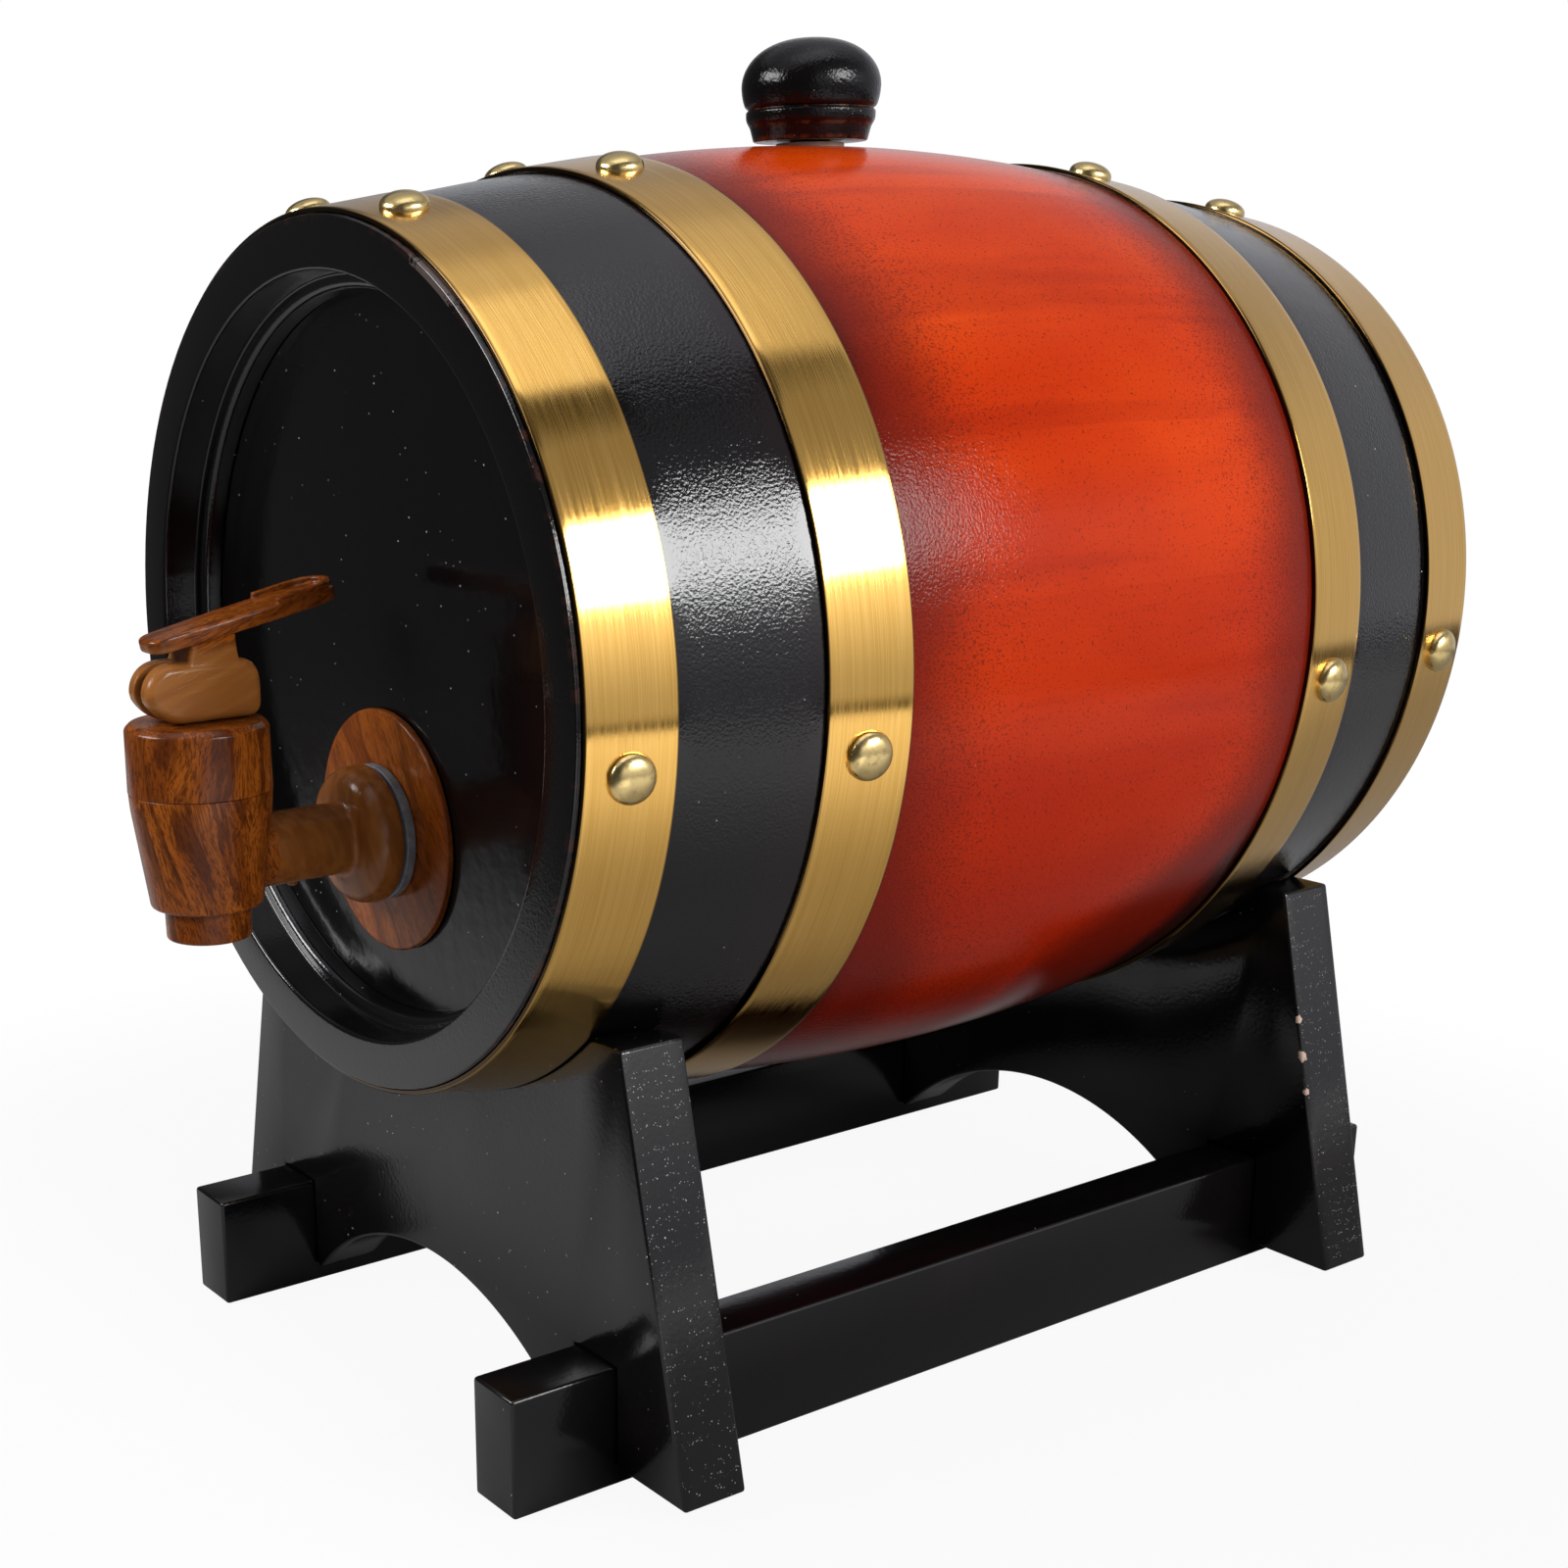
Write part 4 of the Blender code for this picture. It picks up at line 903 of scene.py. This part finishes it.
def make_stave_finish():
    """Amber stain between the quarter hoops, sprayed darker beside them, black beyond.
    The amber is painted lighter towards the top and darker underneath, as painted light and shade,
    and the spray reaching farther under the belly paints shade there as well.
    """
    material, place = new_finish("stained_oak", Specular_IOR_Level=0.05, Coat_Roughness=0.09)
    cask = use_group(PLACE_ON_CASK, place)
    line, along, away, up = cask["Line"], cask["Along"], cask["Away"], cask["Height"]
    lacquer = use_group(LACQUER, place, Peel_Size=1600.0, Dust=0.12)

    cloudy = remap(noise(stretched(line, (1, 0.45, 1)), 26, 3), 0.3, 0.7)
    # Painted light and shade: the amber is lighter towards the top and darker below
    amber = blend(remap(up, 0.015, 0.06), blend(cloudy, *AMBER_PAINTED_SHADE_BELOW), blend(cloudy, *AMBER_PAINTED_LIGHT_ABOVE))
    tone = parts(use_group(STAVE_TONE, place)["Tone"], "Color")[0]
    bands = remap(noise(stretched(line, (1, 0.07, 1)), 75, 3, 0.5, 0.5), 0.52, 0.66)
    fibres = remap(noise(stretched(line, (1, 0.05, 1)), 1000, 3, 0.6), 0.5, 0.72)
    # The last layer is painted shade: the amber darkens towards the underside
    amber = layered(amber, (tone * 0.26, STAVE_TINT), (bands * 0.34, BAND_TINT), (fibres * 0.1, FIBRE_TINT),
                    (remap(up, 0.01, -0.08) * 0.62, PAINTED_UNDERSIDE_SHADE))

    ragged = (noise(line, 42, 3, 0.55) - 0.5) * 0.01
    shoulder = (1.0 - abs(up - 0.062) * 16.0).clamped()
    front = along < 0.0
    # Under the belly the spray reaches farther: partly spray, partly painted shade on the underside
    under = remap(up, -0.028, -0.078, 0.0, 0.046) * remap(along, -0.035, 0.005, 0.4, 1.0)
    widen = shoulder * front * 0.006 + (under + (1.0 - front) * 0.0035)
    spray = away + ragged + widen
    limit = 0.622 - remap(spray, 0.022, 0.056) * 0.095
    specks = remap(noise(stretched(line, (1, 0.7, 1)), 2200, 2, 0.5) - limit, 0.0, 0.035)
    burst = layered(amber, (specks * 0.56, SPECK_TINT), (remap(spray, 0.036, 0.062) * 0.9, SPRAY_BROWN),
                    (remap(spray - under * 0.62, 0.058, 0.072), SPRAY_BLACK))

    beyond = away > QUARTER_HOOP_EDGE
    end_face = remap(away, HALF_LENGTH - 0.003, HALF_LENGTH - 0.0014)
    band = layered(lacquer["Color"], (remap(away, 0.094, 0.076) * 0.55, MAROON_BLACK), (end_face, END_BLACK))
    in_cavity = (cask["Radius"] < CROZE_RADIUS + 0.0005) * (away < HALF_LENGTH - HEAD_DEPTH - 0.004)
    edge = remap(abs(away - (HALF_LENGTH - SKIN_END)), 0.0008, 0.0002)
    worn = remap(noise(stretched(line, (1, 0.6, 1)), 300, 4, 0.6), 0.5, 0.62)
    rubbed = edge * (cask["Radius"] > CHIME_RADIUS - 0.0013) * worn
    chips = use_group(CHIPS, place, Spot=CHIPPED_CHIME, Reach=0.012, Cover=0.62)["Mask"]
    chipped = chips * (cask["Radius"] > CHIME_RADIUS - 0.0016)
    color = layered(burst, (beyond, band), (in_cavity, BARE_OAK), (rubbed * 0.5, RUBBED_OAK),
                    (chipped * 0.22, CHIPPED_OAK))

    height = lacquer["Height"] + noise(stretched(line, (1, 0.4, 1)), 240, 2) * 0.25
    by_hoop = remap(abs(away - 0.0938), 0.0157, 0.0105, 0.3, 1.0)
    height = height * remap(away, 0.01, 0.058, 0.45, 1.0) * by_hoop.math("MAXIMUM", away < QUARTER_HOOP_EDGE)
    rough = blend(beyond, (0.13, 0.13, 0.13), (0.1, 0.1, 0.1)) + chipped * 0.4
    coat = remap(away, QUARTER_HOOP_EDGE - 0.0005, QUARTER_HOOP_EDGE + 0.0005, 0.135, 0.78)
    return wired(material, color, rough, height, 0.0001, coat)


def make_lacquer_finish(name, peel_size, peel_depth, dust, dull, level, *changes):
    """Black lacquer for turned and sawn wood. Dull is added to the roughness, and each change is
    a function of place, colour, roughness and height that gives the last three anew."""
    material, place = new_finish(name, Specular_IOR_Level=level)
    skin = use_group(LACQUER, place, Peel_Size=peel_size, Dust=dust)
    look = skin["Color"], skin["Roughness"] + dull, skin["Height"]
    for change in changes:
        look = change(place, *look)
    return wired(material, *look, peel_depth)


def end_grain(place, color, rough, height):
    """Sawn ends, which face sideways: gritty, with fine glints painted in patches as pale dots."""
    sideways = remap(abs(parts(put(place.tree, "TexCoord")["Normal"])[0]), 0.75, 0.95)
    distance, chance = cells(place, 1600.0)
    patchy = remap(noise(place, 120, 3), 0.4, 0.65, 0.1, 0.55)
    # Painted highlight: pale dots stand for glints on the sawn ends; they also raise small bumps
    painted_glint_dots = remap(distance, 0.3, 0.14) * (sideways * (chance[0] < patchy))
    painted_glint_strength = remap(chance[1], 0, 1, 0.05, 0.45, "LINEAR")
    height = height + sideways * noise(place, 2200, 3, 0.6) * 0.5 + painted_glint_dots * 0.8
    return blend(painted_glint_dots * painted_glint_strength, color, (0.6, 0.6, 0.62)), rough - sideways * 0.07, height


def chipped_edge(place, color, rough, height):
    """Chips down to the primer in the rear board's edge."""
    board_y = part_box("rear_end_board")[0].y
    for x, z, reach in ((0.0841, 0.0578, 0.0022), (0.0819, 0.0668, 0.0016), (0.0861, 0.049, 0.0015)):
        chip = use_group(CHIPS, place, Spot=(x, board_y, z), Reach=reach, Cover=0.7)["Mask"]
        color = blend(chip * 0.85, color, PALE_PRIMER)
        rough = rough + chip * 0.4
    return color, rough, height


def worn_collar(place, color, rough, height):
    """Brown where the knob's rims are rubbed, and a thinner black towards its foot."""
    up = parts(place)[2]
    rubbed = remap(noise(place, 420, 4, 0.6), 0.4, 0.62)
    for level, reach in ((KNOB_TOP - 0.015, 0.0003), (KNOB_TOP - 0.0184, 0.0005), (KNOB_BOTTOM, 0.0013)):
        rim = remap(abs(up - level), reach, reach * 0.3)
        color = blend(rim * rubbed * 0.5, color, RUBBED_KNOB)
    lower = remap(up, KNOB_TOP - 0.011, KNOB_TOP - 0.019)
    return blend(lower * 0.3, color, (0.006, 0.0022, 0.002)), rough, height


def make_hoop_finish():
    """Brass brushed round the hoop: fine lines that change with Y and hardly at all round it.
    Each hoop edge gets painted shade and a painted shadow line.
    """
    material, place = new_finish("brushed_brass", Metallic=1.0)
    cask = use_group(PLACE_ON_CASK, place)
    line = cask["Line"]
    lines = noise(stretched(line, (0.005, 1, 0.005)), 5200, 2, 0.6)
    runs = noise(stretched(line, (0.02, 1, 0.02)), 1500, 3, 0.7)
    color = blend(remap(lines, 0.3, 0.7), *BRASS)
    color = blend(remap(noise(line, 40, 3), 0.45, 0.75) * 0.12, color, BRASS_MIST)
    # Painted shade and a dark painted shadow line along every hoop edge
    for edge in HOOPS["rear_quarter_hoop"] + HOOPS["rear_end_hoop"]:
        gap = abs(cask["Away"] - edge)
        color = layered(color, (remap(gap, 0.0005, 0.00025) * 0.7, PAINTED_HOOP_EDGE_SHADE),
                        (remap(gap, 0.00012, 0.00005) * 0.9, PAINTED_HOOP_EDGE_SHADOW_LINE))
    return wired(material, color, remap(runs, 0.3, 0.7, 0.08, 0.14), lines, 0.00003)


def make_grain_finish(name, turn, streaks=1.0, pale=None, plain=PLAIN_BROWN):
    """Printed wood grain under gloss. pale is (axis, from, to): between them the print gives way
    to the two tints of plain."""
    material, place = new_finish(name, Specular_IOR_Level=0.2)
    laid = stretched(place, (1, 1, 1), turn)
    grain = use_group(PRINTED_GRAIN, laid, Streaks=streaks)
    color = grain["Color"]
    mist = noise(place, 160, 3)
    if pale:
        axis, start, end = pale
        streaky = remap(noise(stretched(laid, (1, 1, 0.12)), 420, 2), 0.35, 0.65)
        level = parts(place)[axis] + (mist - 0.5) * 0.004
        color = blend(remap(level, start, end), color, blend(streaky, *plain))
    rough = remap(mist, 0.3, 0.7, 0.14, 0.22) + grain["Dark"] * 0.04
    return wired(material, color, rough, mist - grain["Dark"] * 0.25, 0.00005)


def make_mottled_finish(name, size, tints, rough, depth, grit=0.5, span=(0.3, 0.7), **plain):
    """Plain stuff whose tint, roughness and height follow one noise of this size."""
    material, place = new_finish(name, **plain)
    mist = noise(place, size, 3, grit)
    return wired(material, blend(remap(mist, *span), *tints), remap(mist, 0.3, 0.7, *rough), mist, depth)


# Studio

CAMERA_PLACE = Vector((0.41815, -0.33849, 0.24064))
CAMERA_YAW = 0.98095
CAMERA_PITCH = -0.30943
CAMERA_ROLL = -0.01768
FOCAL_PIXELS = 2308.99
PICTURE_CENTRE = (545.95, 1038.06)
PICTURE_SIZE = 1600
SENSOR = 36.0
CASK_MIDDLE = Vector((0, MID_Y, AXIS_Z))
LAMP_DISTANCE = 1.2
FLOOR_RINGS = (0.0, 0.2, 0.4, 0.6, 0.84)
FLOOR_Z = -0.0002
WALL_WAY = (0.5, 0.866, 0.0)
LAMP_WAY = (0.97, 0.24, 0.0)
ROOM_DIM = (0.075, 0.075, 0.075)
ROOM_WALL = (0.58, 0.59, 0.63)
ROOM_WALL_HIGH = (0.32, 0.32, 0.34)
ROOM_GAP = (0.1, 0.1, 0.1)
ROOM_CEILING = (0.74, 0.75, 0.8)
ROOM_CEILING_FAR = (0.46, 0.46, 0.49)
PANEL = (1.7, 1.72, 1.81)
WHITE = (1, 1, 1)


def make_camera():
    """Camera at the photograph's place, with the photograph's framing as lens shift."""
    data = bpy.data.cameras.new("photo_camera")
    data.sensor_width = SENSOR
    data.lens = FOCAL_PIXELS / PICTURE_SIZE * SENSOR
    data.shift_x = (PICTURE_SIZE / 2 - PICTURE_CENTRE[0]) / PICTURE_SIZE
    data.shift_y = (PICTURE_CENTRE[1] - PICTURE_SIZE / 2) / PICTURE_SIZE
    data.clip_start = 0.01
    camera = bpy.data.objects.new("photo_camera", data)
    bpy.context.scene.collection.objects.link(camera)
    camera.matrix_world = (
        Matrix.Translation(CAMERA_PLACE) @ Matrix.Rotation(CAMERA_YAW, 4, "Z")
        @ Matrix.Rotation(math.pi / 2 + CAMERA_PITCH, 4, "X") @ Matrix.Rotation(CAMERA_ROLL, 4, "Z"))
    bpy.context.scene.camera = camera


def softbox(name, degrees, height_degrees, size, power):
    """Rectangle light aimed at the middle of the cask, turned round it from +Y towards +X."""
    turn, rise = math.radians(degrees), math.radians(height_degrees)
    way = Vector((math.sin(turn) * math.cos(rise), math.cos(turn) * math.cos(rise), math.sin(rise)))
    place = way * LAMP_DISTANCE + CASK_MIDDLE
    data = bpy.data.lights.new(name, "AREA")
    data.shape = "RECTANGLE"
    data.size, data.size_y = size
    data.energy = power
    lamp = bpy.data.objects.new(name, data)
    bpy.context.scene.collection.objects.link(lamp)
    lamp.location = place
    lamp.rotation_euler = (CASK_MIDDLE - place).to_track_quat("-Z", "Y").to_euler()


def emptied(owner):
    """The node tree of a new material or world, with nothing in it."""
    owner.use_nodes = True
    owner.node_tree.nodes.clear()
    return owner.node_tree


def make_floor():
    """Round table under the stand. Straight looks see it white, a little greyer near the stand.
    Its colour for the light that it throws up is painted: brightest to the right and a little before the
    cask, darker under the cask."""
    floor = turned("studio_floor", [(radius, FLOOR_Z) for radius in FLOOR_RINGS])
    material = bpy.data.materials.new("studio_paper")
    tree = emptied(material)
    x, y, _ = parts(put(tree, "TexCoord")["Object"])
    # Painted light and shade in the floor's colour, brighter to the right and in front, darker under the
    # cask
    painted_floor_light = (remap(y, -0.44, -0.24, 0.2, 1.9) * remap(x, 0.17, 0.44, 0.58, 1.25)
           * remap(y, -0.16, -0.08, 1.0, 0.56) * 0.45)
    painted_light_colour = put(tree, "CombineXYZ", {0: painted_floor_light, 1: painted_floor_light, 2: painted_floor_light})[0]
    diffuse = put(tree, "BsdfDiffuse", {"Color": painted_light_colour})[0]
    glow = put(tree, "Emission", {"Color": (*WHITE, 1), "Strength": 1.0})[0]
    path = put(tree, "LightPath")
    seen = path["Is Camera Ray"] * remap((x * x + y * y).math("SQRT"), 0.2, 0.36, 0.93, 1.0)
    straight = (seen + path["Is Transmission Ray"]).clamped()
    shader = put(tree, "MixShader", {0: straight, 1: diffuse, 2: glow})[0]
    put(tree, "OutputMaterial", {"Surface": shader})
    floor.data.materials.append(material)


def make_world():
    """White to straight looks. As light it is a dim room with a pale wall to the right of the
    camera, a glow on it under the lamp, and a ceiling with a bright panel, both of which end in
    a straight edge beside the cask."""
    world = bpy.data.worlds.new("studio")
    bpy.context.scene.world = world
    tree = emptied(world)
    way = put(tree, "TexCoord")["Generated"]
    x, y, up = parts(way)
    wall = blend(remap(up, 0.3, 0.62), ROOM_WALL, ROOM_WALL_HIGH)
    room = blend(remap(vectors(way, "DOT_PRODUCT", WALL_WAY)["Value"], -0.25, 0.2), ROOM_DIM, wall)
    room = blend(remap(up, 0.8, 0.815), room, ROOM_GAP)
    glow = remap(up, -0.12, 0.31, curve="LINEAR").math("POWER", 1.6) * 1.25 * remap(up, 0.42, 0.31)
    glow = glow * remap(vectors(way, "DOT_PRODUCT", LAMP_WAY)["Value"], 0.6, 0.9)
    room = vectors(room, "ADD", glow)[0]
    height = up.math("MAXIMUM", 0.05)
    ceiling_x = x / height
    ceiling_y = y / height
    inner_edge = remap(ceiling_x, 0.395, 0.365)
    near = remap(ceiling_x, -0.55, -0.3) * remap(ceiling_y, 1.0, 0.45)
    on_panel = (inner_edge * remap(ceiling_x, -0.18, -0.1) * remap(ceiling_y, 0.46, 0.26)
                * remap(ceiling_y, -0.55, -0.45))
    room = layered(room, (inner_edge * remap(up, 0.55, 0.7), blend(near, ROOM_CEILING_FAR, ROOM_CEILING)),
                   (on_panel, PANEL), (remap(up, -0.155, -0.185), ROOM_GAP))
    path = put(tree, "LightPath")
    straight = path["Is Camera Ray"].math("MAXIMUM", path["Is Transmission Ray"])
    light = put(tree, "Background", {"Color": blend(straight, room, WHITE), "Strength": 1.0})[0]
    put(tree, "OutputWorld", {"Surface": light})


# Assembly

def dress(material, *nodes):
    """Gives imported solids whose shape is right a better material."""
    for node in nodes:
        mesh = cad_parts[node].data
        mesh.materials.clear()
        mesh.materials.append(material)


def build_cask():
    stain, brass = make_stave_finish(), make_hoop_finish()
    dome = make_mottled_finish("polished_brass", 700, ((0.66, 0.5, 0.22), (0.44, 0.31, 0.12)), (0.18, 0.28),
                               0.000012, 0.6, (0.5, 0.75), Metallic=1.0)
    outline, skin = stave_outline()
    for index in range(STAVE_COUNT):
        stave = make_stave(index, outline, skin)
        if index == 0:
            hole = turned("bung_hole_shape", [
                (0, HOLE_LOW), (BUNG_HOLE_RADIUS, HOLE_LOW), (BUNG_HOLE_RADIUS, HOLE_HIGH), (0, HOLE_HIGH)],
                64, centre=(0, MID_Y, 0))
            joined(stave, [hole], "DIFFERENCE")
        finished(stave, "cask", stain, "stained_oak", f"stave_{index + 1:02d}")
    for hoop_index, (name, (low, high)) in enumerate(HOOPS.items()):
        finished(make_hoop(name, low, high), "cask", brass, "brushed_brass", name)
        for nail_index, degrees in enumerate(NAIL_ANGLES):
            label = f"{hoop_index + 1}_{nail_index + 1}"
            finished(make_nail(label, (low + high) / 2, degrees), "cask", dome, "brushed_brass",
                     f"hoop_nail_{label}")
    dress(make_lacquer_finish("head_lacquer", 260.0, 0.00006, 0.38, 0.05, 0.36), "front_head", "rear_head")


def build_bung():
    black = make_lacquer_finish("knob_lacquer", 1500.0, 0.00011, 0.1, 0.06, 0.22, worn_collar)
    # Plug colour is painted warm and light: a painted reflection of the red belly and painted light against
    # the shade under the knob
    painted_reflection_silicone = make_mottled_finish("silicone_painted_belly_reflection", 500, ((0.92, 0.62, 0.46), (0.96, 0.72, 0.56)), (0.35, 0.45),
                               0.00006, Subsurface_Weight=0.4, **SOFT)
    finished(make_knob(), "bung", black, "black_lacquer", "bung_knob")
    finished(make_plug(), "bung", painted_reflection_silicone, "silicone", "bung_plug")


def build_tap():
    body_grain = make_grain_finish("tap_grain", (-0.216, 0.145, 0.0),
                                   pale=(1, TAP_Y + 0.0128, TAP_Y + 0.0142))
    bonnet_grain = make_grain_finish("bonnet_grain", (0.05, -0.03, 0.0))
    disc_grain = make_grain_finish("escutcheon_grain", (0.0, 0.55, 0.0), streaks=0.6)
    lever_grain = make_grain_finish("lever_grain", (math.radians(70), 0.0, 0.0), plain=LEVER_BROWN,
                                    pale=(2, PIVOT.z + 0.0102, PIVOT.z + 0.007))
    grey = make_mottled_finish("grey_rubber", 500, ((0.1, 0.1, 0.11), (0.16, 0.16, 0.17)), (0.45, 0.55),
                               0.00006, **SOFT)
    silicone = make_mottled_finish("white_silicone", 500, ((0.72, 0.66, 0.6), (0.82, 0.76, 0.7)),
                                   (0.35, 0.45), 0.00006, Subsurface_Weight=0.4, **SOFT)
    steel = make_mottled_finish("drawn_steel", 900, ((0.45, 0.45, 0.46), (0.62, 0.62, 0.62)), (0.22, 0.36),
                                0.00004, Metallic=1.0)
    finished(make_tap_body(), "cask", body_grain, "woodgrain_plastic", "tap_body")
    finished(make_bonnet(), "cask", bonnet_grain, "woodgrain_plastic", "bonnet_cap")
    disc = make_shank_ring("tap_escutcheon_disc", "tap_escutcheon", 0.0007, 0.0002, 128)
    finished(disc, "cask", disc_grain, "woodgrain_plastic", "tap_escutcheon")
    washer = make_shank_ring("shank_washer_ring", "shank_washer", 0.0004, 0.0004, 96)
    finished(washer, "cask", grey, "washer_rubber", "shank_washer")
    finished(make_lever(), "lever", lever_grain, "plain_plastic", "lever")
    spring = finished(make_spring(), "plunger", steel, "spring_steel", "closing_spring")
    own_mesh(spring)
    dress(grey, "inner_washer")
    dress(make_grain_finish("plain_plastic", (0.0, 0.0, 0.0), streaks=0.0), "back_nut", "lever_stem")
    dress(silicone, "seal_cup")
    dress(steel, "lever_pin")


def build_stand():
    lacquer = 900.0, 0.00003, 0.07, 0.08, 0.42
    board_black = make_lacquer_finish("board_lacquer", *lacquer, end_grain, chipped_edge)
    rail_black = make_lacquer_finish("rail_lacquer", *lacquer)
    for name in ("front_end_board", "rear_end_board"):
        finished(make_board(name + "_wood", *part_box(name)), "stand", board_black, "black_lacquer", name)
    for name in ("left_rail", "right_rail"):
        finished(make_rail(name + "_wood", *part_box(name)), "stand", rail_black, "black_lacquer", name)


make_camera()
softbox("right_softbox", 76, 25.5, (0.66, 0.36), 13.4)
softbox("left_softbox", 201, 27, (0.64, 0.36), 12.0)
make_floor()
make_world()
bpy.context.scene.view_settings.view_transform = "Standard"
build_cask()
build_bung()
build_tap()
build_stand()
